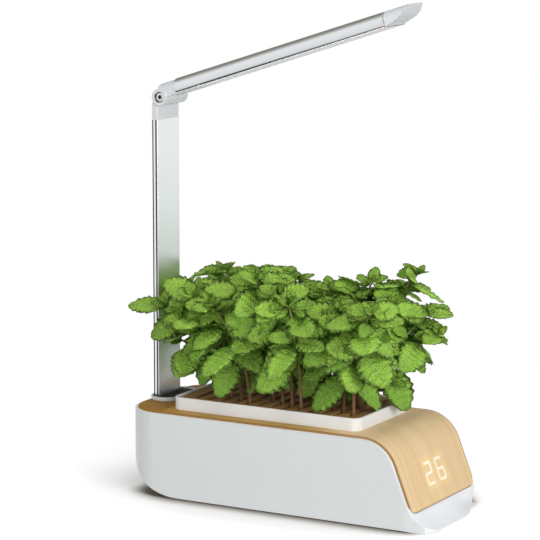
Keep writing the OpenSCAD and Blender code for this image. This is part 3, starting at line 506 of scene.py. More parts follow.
def lens_finish(name, dark, bright, glow):
    f = Finish(name, {"Roughness": 0.2, "IOR": 1.45, "Emission Strength": glow})
    grain = f.noise(f.place, 2600.0, 2.0)
    tint = f.mix(grain, dark, bright)
    f.set(colour=tint, glow=tint, normal=f.bump(grain, 0.00001))
    return f.mat


finish.update({
    "board_green": circuit_board("green_board", (0.02, 0.14, 0.06)),
    "led_phosphor": lens_finish("led_phosphor", (0.80, 0.62, 0.12), (0.95, 0.80, 0.30), 0.15),
    "indicator_red": lens_finish("red_lens", (0.45, 0.01, 0.01), (0.75, 0.03, 0.02), 0.5),
    "digit_light": lens_finish("digit_guide", (0.95, 0.88, 0.78), (1.0, 0.95, 0.88), 0.6),
})
print("finishes:", len(finish))

# %% [markdown]
# ## Wood that follows its bend
#
# The cover is a thin board bent over the brow and down the face, so its grain runs along
# the top, round the bend and on down. A pattern on plain coordinates would cut across that
# bend. Each point therefore carries its own unrolled place: the length along the board, the
# width, and the depth below its face. The grain is drawn in that unrolled space.

# %% Sizes that the finishes need
RIM_Z, DECK_Z, WOOD_RISE = 70 * MM, 71.6 * MM, 1.6 * MM
LEAN = math.radians(21.4)
NOSE_X, BROW_R = 102.5 * MM, 30 * MM
BROW = Vector((NOSE_X - BROW_R * math.tan((math.pi / 2 - LEAN) / 2), 0.0, RIM_Z - BROW_R))
BEND_R, BEND = BROW_R + WOOD_RISE, math.pi / 2 - LEAN


def unrolled(points):
    """Length along the bent board, width and depth for an array of points."""
    x, y, z = points[:, 0] - BROW.x, points[:, 1], points[:, 2] - BROW.z
    angle = np.arctan2(x, z)
    down = x * math.sin(LEAN) - z * math.cos(LEAN)
    out = x * math.cos(LEAN) + z * math.sin(LEAN)
    radius = np.hypot(x, z)
    flat, bent = x < 0, (x >= 0) & (angle < BEND)
    length = np.where(flat, x, np.where(bent, BEND_R * angle, BEND_R * BEND + down))
    depth = np.where(flat, BEND_R - z, np.where(bent, BEND_R - radius, BEND_R - out))
    return np.stack([length, y, depth], 1)


print("the board is bent through", round(math.degrees(BEND), 1), "degrees")


# %% Wood grain
def wood(name, pale, mid, dark, attribute="grain", gloss=0.42, seed=0.0):
    f = Finish(name, {"IOR": 1.5, "Coat Roughness": 0.3, "Specular IOR Level": 0.18})
    g = f.node("ShaderNodeAttribute", {"attribute_name": attribute}, out="Vector")
    s, y, d = f.parts(g)
    drift = f.noise(f.vector(s * 3.0 + seed, y * 16.0, d * 16.0), 1.0, 2.0)
    line = y + d * 0.6 + (drift - 0.5) * 0.045
    broad = f.noise(f.vector(s * 1.2, line * 85.0, seed), 1.0, 3.0)
    rings = f.noise(f.vector(s * 2.5, line * 640.0, seed + 4.0), 1.0, 4.0, 0.65)
    pores = f.noise(f.vector(s * 28.0, y * 2600.0, d * 900.0), 1.0, 3.0, 0.65)
    shade = broad * 0.38 + rings * 0.62
    tone = f.ramp(shade, [(0.30, dark), (0.47, mid), (0.62, pale), (0.72, mid)])
    fleck = pores.rise(0.60, 0.74)
    tone = f.mix(fleck * 0.35, tone, tuple(c * 0.78 for c in mid))
    f.set(rough=gloss + pores * 0.14, coat=0.03 + fleck * 0.03,
          normal=f.bump(pores * 0.7 + rings * 0.3, 0.00004))
    return f, tone


# %% [markdown]
# ## Digits that glow through the veneer
#
# The display sits behind the board and shows only as light that soaks through a veneer less
# than a millimetre thick. The wood's own shader carries it: the distance to the nearest lit
# bar gives a soft-edged core and a wider warm halo round the two digits.

# %% Light the digits inside the wood's finish
DISPLAY_S, DIGIT_H, DIGIT_W, PITCH, STROKE = 36.0, 18.5, 12.0, 20.0, 1.5
LIT = [(0, 1, 6, 4, 3), (0, 5, 6, 4, 3, 2)]
face_z = RIM_Z / MM - DISPLAY_S * math.cos(LEAN)
face_x = NOSE_X / MM + (70 - face_z) * math.tan(LEAN) + 1.6 / math.cos(LEAN)


def lit_bars():
    """Centre and half size, in mm on the sloping face, of every lit bar."""
    w, h = DIGIT_W - STROKE, (DIGIT_H - STROKE) / 2
    spots = [(0, h, 0), (w / 2, h / 2, 1), (w / 2, -h / 2, 1), (0, -h, 0),
             (-w / 2, -h / 2, 1), (-w / 2, h / 2, 1), (0, 0, 0)]
    for digit, on in enumerate(LIT):
        for i in on:
            long = (h if spots[i][2] else w) / 2 - STROKE * 0.35
            half = (STROKE / 2, long) if spots[i][2] else (long, STROKE / 2)
            yield (spots[i][0] + (digit - 0.5) * PITCH, spots[i][1]), half


cover_wood, cover_tone = wood("bamboo_cover", (0.86, 0.66, 0.40), (0.80, 0.575, 0.315),
                              (0.66, 0.43, 0.20))
ox, oy, oz = cover_wood.parts(cover_wood.place)
up = ((oz / MM - face_z) * math.cos(LEAN)) - ((ox / MM - face_x) * math.sin(LEAN))
spot = cover_wood.vector(oy / MM, up, 0.0)
near = None
for (cx, cy), (hx, hy) in lit_bars():
    away = cover_wood.node("ShaderNodeVectorMath", {"operation": "SUBTRACT"},
                           {0: spot, 1: (cx, cy, 0.0)})
    away = cover_wood.node("ShaderNodeVectorMath", {"operation": "ABSOLUTE"}, {0: away})
    away = cover_wood.node("ShaderNodeVectorMath", {"operation": "SUBTRACT"},
                           {0: away, 1: (hx, hy, 0.0)})
    away = cover_wood.node("ShaderNodeVectorMath", {"operation": "MAXIMUM"},
                           {0: away, 1: (0.0, 0.0, 0.0)})
    away = cover_wood.node("ShaderNodeVectorMath", {"operation": "LENGTH"}, {0: away},
                           out="Value")
    near = away if near is None else near.op("MINIMUM", away)
core = 1.0 - near.rise(0.0, 0.65)
halo = 1.0 - near.rise(0.0, 8.0)
fine = cover_wood.noise(cover_wood.place, 1900.0, 2.0)
light = cover_wood.mix(core * (0.75 + fine * 0.35), (0.0, 0.0, 0.0), (0.19, 0.30, 0.47))
warm = cover_wood.mix(halo, (0.0, 0.0, 0.0), (0.09, 0.065, 0.0))
lamp_light = cover_wood.node("ShaderNodeMix", {"data_type": "RGBA", "blend_type": "ADD"},
                             {0: 1.0, 6: light, 7: warm}, out=2)
grain_place = cover_wood.node("ShaderNodeAttribute", {"attribute_name": "grain"}, out="Vector")
along, _, _ = cover_wood.parts(grain_place)
# Painted shade: back from the bend, the board's flat top is multiplied darker and warmer than its
# face, standing in for grazing light and the plants' shadow.
top_in_painted_shade = cover_wood.node("ShaderNodeMix", {"data_type": "RGBA", "blend_type": "MULTIPLY"},
                        {0: 1.0 - along.rise(-0.060, -0.006), 6: cover_tone,
                         7: (0.60, 0.47, 0.15)}, out=2)
cover_points = np.array([tuple(v.co) for v in nodes["front_cover"].data.vertices])
board_end, board_side = unrolled(cover_points)[:, 0].max(), cover_points[:, 1].max()
_, beside, _ = cover_wood.parts(cover_wood.place)
# Painted shade along the board's two sides and its end, where it meets the tub's rim.
painted_edge_shade = beside.op("ABSOLUTE").rise(board_side - 1.5 * MM, board_side - 0.5 * MM)
painted_edge_shade = painted_edge_shade.op("MAXIMUM", along.rise(board_end - 1.5 * MM, board_end - 0.4 * MM))
cover_wood.set(colour=cover_wood.mix(painted_edge_shade * 0.8, top_in_painted_shade, (0.30, 0.15, 0.045)),
               glow=lamp_light)
cover_wood.shader.inputs["Emission Strength"].default_value = 1.0
print("lit bars:", len(list(lit_bars())))

# %% Darker wood for the deck piece, painted as shade, and for the grille
# Painted shade: the deck piece takes a darker, warmer wood than the cover, standing in for the
# shade it lies in under the plants.
deck_wood, deck_tone = wood("bamboo_deck", (0.42, 0.22, 0.032), (0.34, 0.165, 0.022),
                            (0.25, 0.11, 0.013), seed=7.0)
deck_wood.set(colour=deck_tone)
grille_wood, grille_tone = wood("oiled_bamboo_grille", (0.46, 0.27, 0.10), (0.34, 0.19, 0.065),
                                (0.20, 0.10, 0.03), gloss=0.5, seed=13.0)
grille_wood.set(colour=grille_tone)
finish["cover_wood"] = cover_wood.mat
finish["grille_bamboo"] = grille_wood.mat

# %% [markdown]
# ## Edges that catch the light
#
# Moulded, bent and extruded parts never end in a razor edge. A copy of each visible part is
# welded into clean faces, its sharp edges are rounded with a small bevel, and its normals
# are weighted by face size, so flat walls stay flat and only the rounded edge shines.


# %% Round the edges of a part
def formed(name, width, finish_mat=None, segments=3, coords=None, angle=30.0, title=None,
           reshape=None):
    source = nodes[name].data
    count = len(source.vertices)
    co = np.empty(count * 3)
    source.vertices.foreach_get("co", co)
    faces = [tuple(p.vertices) for p in source.polygons]
    mesh = bpy.data.meshes.new(title or name + "_formed")
    mesh.from_pydata(co.reshape(-1, 3).tolist(), [], faces)
    bm = bmesh.new()
    bm.from_mesh(mesh)
    bmesh.ops.remove_doubles(bm, verts=bm.verts, dist=1e-6)
    if width:
        bmesh.ops.dissolve_limit(bm, angle_limit=math.radians(0.5), verts=bm.verts,
                                 edges=bm.edges)
    if reshape:
        reshape(bm)
    bm.to_mesh(mesh)
    bm.free()
    mesh.polygons.foreach_set("use_smooth", [True] * len(mesh.polygons))
    if not width:
        mesh.set_sharp_from_angle(angle=math.radians(angle))
    obj = bpy.data.objects.new(mesh.name, mesh)
    bpy.context.scene.collection.objects.link(obj)
    if width:
        edge = obj.modifiers.new("rounded_edges", "BEVEL")
        edge.width, edge.segments, edge.limit_method = width, segments, "ANGLE"
        edge.angle_limit, edge.miter_outer = math.radians(angle), "MITER_ARC"
    weight = obj.modifiers.new("even_shading", "WEIGHTED_NORMAL")
    weight.keep_sharp = True
    settle(obj)
    if coords is not None:
        points = np.empty(len(obj.data.vertices) * 3)
        obj.data.vertices.foreach_get("co", points)
        layer = obj.data.attributes.new("grain", "FLOAT_VECTOR", "POINT")
        layer.data.foreach_set("vector", coords(points.reshape(-1, 3)).astype(np.float32).ravel())
    obj.data.materials.clear()
    obj.data.materials.append(finish_mat or finish[slot_of[name]])
    return stand_for(obj, name)


def settle(obj):
    """Applies the modifiers of obj to a plain mesh of its own."""
    graph = bpy.context.evaluated_depsgraph_get()
    mesh = bpy.data.meshes.new_from_object(obj.evaluated_get(graph),
                                           preserve_all_data_layers=True, depsgraph=graph)
    old = obj.data
    obj.modifiers.clear()
    obj.data = mesh
    mesh.name = obj.name
    bpy.data.meshes.remove(old)


def stand_for(obj, *names):
    """obj rides with the body of the first of those parts and is shown in their place."""
    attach(obj, body_of[names[0]])
    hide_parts(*names)
    return obj


# %% [markdown]
# ## A tub with a bowed toe and a long heel
#
# The solid tub ends straight across its toe and is the same on both sides. Its dressed
# copy is cut into strips at the toe and the heel, and every point there is then moved by a
# smooth rule: the toe swells in the middle, its corner at -Y is pushed out and the one at
# +Y drawn in, and the heel rolls up in a longer curve. The toe ends 3 mm past the solid,
# so the copy isn't a place to take sizes from.

# %% Form the visible parts
def along_length(points):
    return np.stack([points[:, 0], points[:, 1], DECK_Z - points[:, 2]], 1)


def along_width(points):
    return np.stack([points[:, 1], points[:, 0], DECK_Z - points[:, 2]], 1)


def ease(v, low, high):
    t = min(1.0, max(0.0, (v - low) / (high - low)))
    return t * t * (3 - 2 * t)


def sliced(bm, wanted, place, normal):
    """Cuts the faces that wanted picks along one plane, so that they can bend there."""
    faces = [f for f in bm.faces if wanted(f)]
    touched = list({e for f in faces for e in f.edges} | {v for f in faces for v in f.verts})
    bmesh.ops.bisect_plane(bm, geom=faces + touched, plane_co=place, plane_no=normal, dist=1e-6)


def bowed_toe(bm):
    """Bows the tub's toe, unlike at its two corners, and rolls its heel up in a long curve."""
    for y in range(-54, 55, 6):
        sliced(bm, lambda f: max(v.co.x for v in f.verts) > 0.118, (0, y * MM, 0), (0, 1, 0))
    for x in range(-134, -85, 4):
        sliced(bm, lambda f: min(v.co.x for v in f.verts) < -0.088, (x * MM, 0, 0), (1, 0, 0))
    for v in bm.verts:
        x, y, z = (c / MM for c in v.co)
        side = -1.0 if y < 0 else 1.0
        dx, dy = x - TOE_CORNER[0], abs(y) - TOE_CORNER[1]
        low = 1.0 - ease(z, 7.0, 16.0)
        if dx > 0 and dy > 0 and low:
            corner = (2 * dx * dy / (dx * dx + dy * dy)) ** 2
            push = 1.0 + (CORNER_OUT if y < 0 else CORNER_IN) * low * corner
            x, y = TOE_CORNER[0] + dx * push, side * (TOE_CORNER[1] + dy * push)
        tip = ease(x, 120.0, 138.0) * low
        x += tip * (TOE_SWELL * (1.0 - ease(y, 0.0, 40.0)) - TOE_CUT * ease(y, 5.0, 44.0))
        if x < HEEL_START:
            back = HEEL_START - x
            roll = HEEL_R - math.sqrt(HEEL_R ** 2 - min(back, HEEL_R) ** 2)
            back = max(0.0, back - SOLID_HEEL_AT)
            made = SOLID_HEEL_R - math.sqrt(SOLID_HEEL_R ** 2 - min(back, SOLID_HEEL_R) ** 2)
            z += max(0.0, roll - made) * (1.0 - ease(z, made, 48.0))
        v.co = Vector((x, y, z)) * MM


# Millimetres: the corners' shares of push, the toe's swell and cut, and the two heel curves.
TOE_CORNER, CORNER_OUT, CORNER_IN, TOE_SWELL, TOE_CUT = (116.5, 36.0), 0.22, -0.12, 2.5, 7.6
HEEL_START, HEEL_R, SOLID_HEEL_AT, SOLID_HEEL_R = -88.0, 56.0, 24.0, 28.0
edge_widths = {"bottom_plate": 0.4, "rubber_feet": 0.5, "water_tank": 0.3,
               "pump": 0.8, "power_inlet": 0.25, "lamp_collar": 0.45, "collar_gasket": 0.1,
               "mirror_strip": 0.1, "post_cap": 0.3, "tray_frame": 0.55, "cover_liner": 0.4,
               "grow_basket": 0.15, "hinge_bolt": 0.2, "hinge_nut": 0.25,
               "arm_housing": 0.2, "lamp_bracket": 0.5,
               "display_module": 0.4, "display_bracket": 0.3}
for part, width in edge_widths.items():
    made = formed(part, width * MM)
    print(part, len(made.data.polygons))
formed("body_shell", 0.8 * MM, reshape=bowed_toe)


def bolt_pocket(f):
    """The shaded pocket round the bolt's head, on the two outer faces only."""
    return (near_bolt(f, 0.0042, 0.0046)
            * f.parts(f.place)[1].op("ABSOLUTE").rise(0.0125, 0.0130))


formed("hinge_yoke", 0.25 * MM,
       moulded("satin_white_hinge", (0.72, 0.74, 0.765), 0.32, 1700.0, 0.000006, 0.012,
               shade=bolt_pocket))
formed("arm_tip_cap", 0.0, moulded("satin_white_cap", (0.70, 0.725, 0.76), 0.32, 1700.0,
                                   0.000004, 0.012, shade=cap_joint_shade))
formed("diffuser", 0.0)
formed("front_cover", 0.9 * MM, cover_wood.mat, coords=unrolled)
formed("rear_deck", 0.7 * MM, deck_wood.mat, coords=along_length)
formed("grille", 0.45 * MM, grille_wood.mat, coords=along_width)

# %% [markdown]
# ## The post
#
# The post is a drawn aluminium bar. Its narrow sides carry two fine grooves with a rounded
# land between them, and a painted shade darkens the grooves; together they draw the dark
# and bright lines down its height. The outline is written as a polygon and pulled up to
# the full height.

# %% Draw the post's outline and pull it up
low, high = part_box("lamp_post")


def post_outline():
    t, w = high.x - low.x, (high.y - low.y) / 2
    g, deep, lip = 0.75 * MM, 0.7 * MM, 0.9 * MM
    side = [(0.35, 0.0), (0.55, 0.0), (0.55, -deep / MM), (0.55 + g / MM, -deep / MM),
            (0.55 + g / MM, -0.15), (2.0, 0.0), (2.8, 0.0), (3.3, -0.15),
            (3.3, -deep / MM), (3.3 + g / MM, -deep / MM), (3.3 + g / MM, 0.0)]
    half = [(0.0, w - 0.8 * MM)] + [(x * MM, w + y * MM) for x, y in side]
    half += [(t - 0.2 * MM, w), (t, w - 0.2 * MM), (t, w - lip), (t - 1.0 * MM, w - lip)]
    return [(low.x + x, y) for x, y in half] + [(low.x + x, -y) for x, y in reversed(half)]


outline = post_outline()
count = len(outline)
post_mesh = bpy.data.meshes.new("drawn_post")
post_mesh.from_pydata([(x, y, z) for z in (low.z, high.z) for x, y in outline], [],
                      [tuple(reversed(range(count))), tuple(range(count, 2 * count))]
                      + [(i, (i + 1) % count, count + (i + 1) % count, count + i)
                         for i in range(count)])
bm = bmesh.new()
bm.from_mesh(post_mesh)
bmesh.ops.recalc_face_normals(bm, faces=bm.faces)
bm.to_mesh(post_mesh)
bm.free()
post = bpy.data.objects.new("drawn_post", post_mesh)
bpy.context.scene.collection.objects.link(post)
rounding = post.modifiers.new("fine_edges", "BEVEL")
rounding.width, rounding.segments, rounding.limit_method = 0.12 * MM, 2, "ANGLE"
settle(post)
post.data.materials.append(finish["post_aluminium"])
stand_for(post, "lamp_post")
print("post faces:", len(post.data.polygons))

# %% [markdown]
# ## Growing mint with Geometry Nodes
#
# Mint grows in crossed pairs: each pair of leaves stands at right angles to the one below,
# and young leaves crowd at the tip. The stems are plain lines that one node tree turns into
# tapering tubes, and a second tree sets a leaf on every point of a cloud, from points that
# say how the leaf is turned, how long it is, which shape it has and how old it is.
#
# Side shoots grow from half way up each main stem and fill the bed between them. A plant
# turns its blades to the light; these are turned up, outwards and partly to the camera's
# side, which makes the bed look fuller from there than from behind.

# %% One mint leaf
ROWS, UPPER, LOWER = 14, (-1.0, -0.5, 0.0, 0.5, 1.0), (-1.0, 0.0, 1.0)


def leaf_width(u, width):
    """Half width of an egg-shaped leaf with a drawn-out point, at share u of its blade."""
    return width * u ** 0.55 * (1 - u) ** 0.78 / 0.405 if 0 < u < 1 else 0.0


def leaf_blade(name, droop, fold, curl, width=0.32):
    """A closed, quilted, toothed leaf of length 1 along +X, thicker at its rib."""
    points, facts, index = [], [], {}

    def point(i, v, top):
        edge, end = abs(v) == 1.0, i in (0, ROWS)
        key = (i, 0.0 if end else v, top or edge or end)
        if key in index:
            return index[key]
        t = i / ROWS
        u = max(0.0, (t - 0.07) / 0.93)
        tooth = i % 2 == 1
        w = 0.0 if i == ROWS else 0.016 + leaf_width(u, width)
        reach = w * (1.0 + (0.085 if tooth else -0.05) * edge * (u > 0))
        x = t + 0.16 * abs(v) * w * (1 - u) + (0.02 if tooth and edge else 0.0)
        y = v * reach
        z = fold * abs(y) - droop * t * t - curl * (abs(v) ** 3) * w
        if u > 0 and 0 < abs(v) < 1:
            z += (0.022 if tooth else -0.014) * w / width
        if v == 0.0:
            z -= 0.014 * (w / width)
        if edge and u > 0:
            z += 0.016 * math.sin(i * 1.9 + (v > 0) * 2.1)
        if not key[2]:
            z -= 0.022
        index[key] = len(points)
        points.append((x, y, z))
        facts.append((t, v, 0.5 if edge or end else float(top)))
        return index[key]

    faces = []
    for top, columns in ((True, UPPER), (False, LOWER)):
        for i in range(ROWS):
            for a, b in zip(columns, columns[1:]):
                ring = [point(i, a, top), point(i + 1, a, top), point(i + 1, b, top),
                        point(i, b, top)]
                ring = [p for k, p in enumerate(ring) if p != ring[k - 1]]
                faces.append(tuple(reversed(ring)) if top else tuple(ring))
    mesh = bpy.data.meshes.new(name)
    mesh.from_pydata(points, [], faces)
    mesh.polygons.foreach_set("use_smooth", [True] * len(mesh.polygons))
    layer = mesh.attributes.new("blade", "FLOAT_VECTOR", "POINT")
    layer.data.foreach_set("vector", np.array(facts, np.float32).ravel())
    return bpy.data.objects.new(name, mesh)


leaf_shapes = [leaf_blade("leaf_flat", 0.12, 0.14, 0.08),
               leaf_blade("leaf_droop", 0.30, 0.10, 0.20),
               leaf_blade("leaf_folded", 0.16, 0.32, 0.05, 0.30),
               leaf_blade("leaf_round", 0.22, 0.08, 0.26, 0.36),
               leaf_blade("leaf_young", -0.10, 0.50, 0.0, 0.27)]
leaf_box = bpy.data.collections.new("leaf_shapes")
for shape in leaf_shapes:
    leaf_box.objects.link(shape)
print("faces of a leaf:", len(leaf_shapes[0].data.polygons))

# %% Where the stems and leaves stand
tray_low, tray_high = (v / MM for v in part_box("tray_frame"))
SLOTS, TRAY_X, TRAY_TOP = 13, (tray_low.x + tray_high.x) / 2, tray_high.z
SLOT_PITCH, NECK_W = (tray_high.x - tray_low.x - 20.0) / SLOTS, tray_high.y - tray_low.y - 18.0
FOOT_Z, PLANT_H, SPREAD, LEAF_L = 77.6, 100.0, 27.0, 29.0
PAIRS, LEAN_STEP, GOLDEN = 4, 5.2, 0.618034
POST_X1, BACK_X, FRONT_X, SIDE_Y, POST_W, POST_ROOM = -130.5, -140.5, 112.5, 76.8, 34.0, 14
HANGS_TO, STAYS_ABOVE, HANGING_SHARE = -2, 13, 0.52
CAMERA_SIDE = np.array([0.47, -0.84, 0.27])


def frac(v):
    return v - math.floor(v)


def row_of(k):
    return k // 2 - (SLOTS - 1) / 2


def side_of(k):
    return -1 if k % 2 == 0 else 1


def stem_at(k, t):
    """Place on stem k at share t of its height, in mm; from 2 SLOTS on, k is a side shoot."""
    if k >= 2 * SLOTS:
        m = k - 2 * SLOTS
        reach = np.array([7.0 * row_of(m) * (0.6 + 0.4 * frac(m * 0.7549)),
                          side_of(m) * (13.0 + 19.0 * frac(m * 0.4142)),
                          24.0 + 26.0 * frac(m * 0.5698)])
        branch = stem_at(m, 0.36 + 0.3 * frac(m * 0.3247))
        return branch + reach * np.array([t, t, t * (1.4 - 0.4 * t)])
    foot = (TRAY_X + row_of(k) * SLOT_PITCH,
            side_of(k) * NECK_W * (0.05 + 0.32 * frac(k * GOLDEN)), FOOT_Z)
    lean_x = LEAN_STEP * (row_of(k) + 2.4 * (frac(k * 0.7549) - 0.5))
    lean_y = side_of(k) * SPREAD * (0.25 + frac(k * GOLDEN))
    tall = PLANT_H * (0.80 + 0.22 * frac(k * 0.4142) - 0.5 * (row_of(k) / SLOTS) ** 2)
    return np.array(foot) + np.array([lean_x * t * t, lean_y * t * t, tall * t])


def pair_t(k, j):
    return 0.34 + 0.66 * (j + 1 - 0.5 * frac((k + j) * GOLDEN)) / PAIRS


def leaf_free(p, q, hanging):
    """True where a leaf from p to q keeps clear of the post, the tray's rim and the limits."""
    least = TRAY_TOP + (HANGS_TO if hanging else STAYS_ABOVE)
    beside_post = max(abs(q[1]), abs(p[1])) > POST_W / 2 + POST_ROOM
    clear = beside_post or min(p[0], q[0]) > POST_X1 + POST_ROOM
    inside = min(p[0], q[0]) > BACK_X and q[0] < FRONT_X and abs(q[1]) < SIDE_Y
    return clear and inside and q[2] > least and p[2] > least


cloud = []


def add_leaf(k, t, size, turn, lift, shape, tone, sway=0.0):
    """A leaf on stem k, its blade turned up, outwards and partly to the camera's side."""
    p = stem_at(k, t)
    along = np.array([math.cos(turn) * math.cos(lift), math.sin(turn) * math.cos(lift),
                      math.sin(lift)])
    if not leaf_free(p, p + size * along, frac(k * 0.7549) > HANGING_SHARE):
        return
    outward = np.array([p[0] - TRAY_X, p[1] * 1.6, 0.0])
    outward /= np.linalg.norm(outward) + 25.0
    face = np.array([0.0, 0.0, 0.50]) + 0.45 * outward + 0.50 * CAMERA_SIDE
    face = face - along * face.dot(along)
    face /= np.linalg.norm(face)
    wing = np.cross(face, along)
    face, wing = (face * math.cos(sway) + wing * math.sin(sway),
                  wing * math.cos(sway) - face * math.sin(sway))
    turned = Matrix(np.stack([along, wing, face], 1).tolist()).to_euler()
    cloud.append((p * MM, tuple(turned), size * MM, shape, tone))


for k in range(4 * SLOTS):
    shoot = k >= 2 * SLOTS
    for j in range(1 if shoot else -(k % 5 == 0), PAIRS):
        t = pair_t(k, j) if j >= 0 else 0.24 + 0.10 * frac(k * 0.7549)
        size = LEAF_L * (1.42 - 0.14 * max(0, j)) * (0.85 + 0.3 * frac((k * 4 + j) * 0.7549))
        turn = math.radians(360 * frac(k * GOLDEN) + 90 * j)
        lift = math.radians(-46 + 20 * max(j, 0) + 24 * (frac((k * 5 + j) * 0.5698) - 0.5))
        for s in (0, 1):
            chance = frac((k * 9 + j * 2 + s) * 0.3247)
            add_leaf(k, t, size, turn + math.pi * s, lift, int(chance * 4),
                     min(1.0, 0.10 + 0.15 * j + 0.42 * chance),
                     0.9 * (frac((k + j + s) * 0.8191) - 0.5))
            add_leaf(k, min(1.0, t + 0.03), size * (0.42 + 0.22 * chance),
                     turn + math.pi * s + 0.9 + chance, lift + 0.35,
                     4 if chance > 0.5 else 0, 0.45 + 0.3 * chance, 0.3)
    for j, (share, lift) in enumerate([(0.72, 6), (0.52, 24), (0.34, 44), (0.20, 64)]):
        for s in (0, 1):
            add_leaf(k, 1.0, LEAF_L * share * (0.9 + 0.25 * frac((k + s) * 0.7549)),
                     math.radians(360 * frac(k * GOLDEN) + 45 + 90 * j + 180 * s),
                     math.radians(lift), 4 if j > 1 else 2, min(1.0, 0.66 + 0.1 * j), 0.1)
print("leaves:", len(cloud))


# %% A small helper that writes a node tree
class Growth:
    """A Geometry Nodes tree with named inputs, applied to one object."""

    def __init__(self, name, sizes):
        self.tree = bpy.data.node_groups.new(name, "GeometryNodeTree")
        face = self.tree.interface
        face.new_socket("Geometry", in_out="INPUT", socket_type="NodeSocketGeometry")
        face.new_socket("Geometry", in_out="OUTPUT", socket_type="NodeSocketGeometry")
        self.keys = {}
        for label, (kind, value) in sizes.items():
            self.keys[label] = face.new_socket(label, in_out="INPUT",
                                               socket_type="NodeSocket" + kind)
            self.keys[label].default_value = value
        self.start = self.tree.nodes.new("NodeGroupInput")
        self.end = self.tree.nodes.new("NodeGroupOutput")

    def node(self, kind, settings=None, values=None, out=0):
        made = self.tree.nodes.new(kind)
        for key, value in (settings or {}).items():
            setattr(made, key, value)
        for key, value in (values or {}).items():
            if isinstance(value, bpy.types.NodeSocket):
                self.tree.links.new(value, made.inputs[key])
            else:
                made.inputs[key].default_value = value
        return made.outputs[out]

    def value(self, label):
        return self.start.outputs[label]

    def named(self, name, kind="FLOAT"):
        return self.node("GeometryNodeInputNamedAttribute", {"data_type": kind}, {"Name": name})

    def finish(self, geometry, material, smooth=True):
        shaded = self.node("GeometryNodeSetShadeSmooth", None,
                           {"Geometry": geometry, "Shade Smooth": smooth})
        real = self.node("GeometryNodeRealizeInstances", None, {"Geometry": shaded})
        dressed = self.node("GeometryNodeSetMaterial", None,
                            {"Geometry": real, "Material": material})
        self.tree.links.new(dressed, self.end.inputs[0])

    def grow(self, obj, values=None):
        mod = obj.modifiers.new("growth", "NODES")
        mod.node_group = self.tree
        for label, value in (values or {}).items():
            mod[self.keys[label].identifier] = value
        settle(obj)
        return obj


# %% [markdown]
# ## Green that is never one green
#
# A mint leaf is quilted: the skin swells between its side veins and sinks along them. Old
# leaves low on the stem are dark, young ones at the tip are light and yellowish, and the
# underside is dull and pale. The leaf's own coordinates place the veins, and each leaf's
# age shifts its colour.

# %% Leaf and stem finishes
leafy = Finish("mint_leaf", {"IOR": 1.45, "Specular IOR Level": 0.32})
blade = leafy.node("ShaderNodeAttribute", {"attribute_name": "blade"}, out="Vector")
age = leafy.node("ShaderNodeAttribute", {"attribute_name": "tone"}, out="Fac")
bt, bv, top_side = leafy.parts(blade)
across = bv.op("ABSOLUTE")
ribs = ((bt - across * 0.10) * (ROWS / 2)).op("FRACT")
quilt = (0.5 - (ribs - 0.5).op("ABSOLUTE")) * 2.0
vein = 1.0 - quilt.rise(0.0, 0.26)
midrib = 1.0 - across.rise(0.03, 0.11)
cells = leafy.node("ShaderNodeTexVoronoi", {"feature": "DISTANCE_TO_EDGE"},
                   {"Vector": leafy.vector(bt * 15.0 + age * 50.0, bv * 5.0, age * 30.0),
                    "Scale": 1.0}, out="Distance").rise(0.0, 0.22)
crinkle = leafy.noise(leafy.vector(bt * 22.0 + age * 50.0, bv * 8.0, age * 30.0), 1.0, 3.0, 0.6)
skin = leafy.noise(leafy.place, 2400.0, 2.0)
young = leafy.mix(crinkle, (0.40, 0.74, 0.058), (0.62, 0.96, 0.15))
old = leafy.mix(crinkle, (0.100, 0.27, 0.017), (0.24, 0.52, 0.045))
green = leafy.mix(age, old, young)
green = leafy.mix((1.0 - cells) * 0.35, green, (0.34, 0.56, 0.12))
green = leafy.mix(vein * 0.30, green, (0.36, 0.58, 0.14))
green = leafy.mix(midrib * 0.50, green, (0.42, 0.62, 0.18))
green = leafy.mix((1.0 - top_side) * 0.55, green, (0.24, 0.42, 0.11))
swell = (quilt.rise(0.0, 0.7) * 0.5 + cells * 0.5 + crinkle * 0.35 + skin * 0.10) - midrib * 0.4
leafy.set(colour=green, rough=0.42 + crinkle * 0.22, normal=leafy.bump(swell, 0.0011))

woody = Finish("mint_stem", {"IOR": 1.45})
rise = woody.node("ShaderNodeAttribute", {"attribute_name": "tone"}, out="Fac")
streak = woody.noise(woody.stretched(woody.place, (900.0, 900.0, 90.0)), 1.0, 3.0)
bark = woody.mix(streak, (0.15, 0.065, 0.035), (0.34, 0.18, 0.085))
fresh = woody.mix(streak, (0.20, 0.27, 0.07), (0.38, 0.46, 0.14))
woody.set(colour=woody.mix(rise.rise(0.25, 0.95), bark, fresh), rough=0.45 + streak * 0.2,
          normal=woody.bump(streak, 0.0003))

# %% Stems: lines into tapering tubes
STEPS = 7
stem_points, stem_lines, stem_tone, stem_thick = [], [], [], []
for k in range(4 * SLOTS):
    first = len(stem_points)
    for i in range(STEPS + 1):
        t = i / STEPS
        wave = 0.9 * math.sin(6.0 * t + k) * t * (1 - t) * 3
        stem_points.append((stem_at(k, t) + np.array([wave, -wave * 0.6, 0.0])) * MM)
        stem_tone.append(t)
        stem_thick.append((1.45 - 0.75 * t if k < 2 * SLOTS else 0.95 - 0.35 * t) * MM)
        if i:
            stem_lines.append((first + i - 1, first + i))
stem_mesh = bpy.data.meshes.new("mint_stems")
stem_mesh.from_pydata([tuple(p) for p in stem_points], stem_lines, [])
for label, values in (("tone", stem_tone), ("thick", stem_thick)):
    stem_mesh.attributes.new(label, "FLOAT", "POINT").data.foreach_set("value", values)
stems = bpy.data.objects.new("mint_stems", stem_mesh)
bpy.context.scene.collection.objects.link(stems)

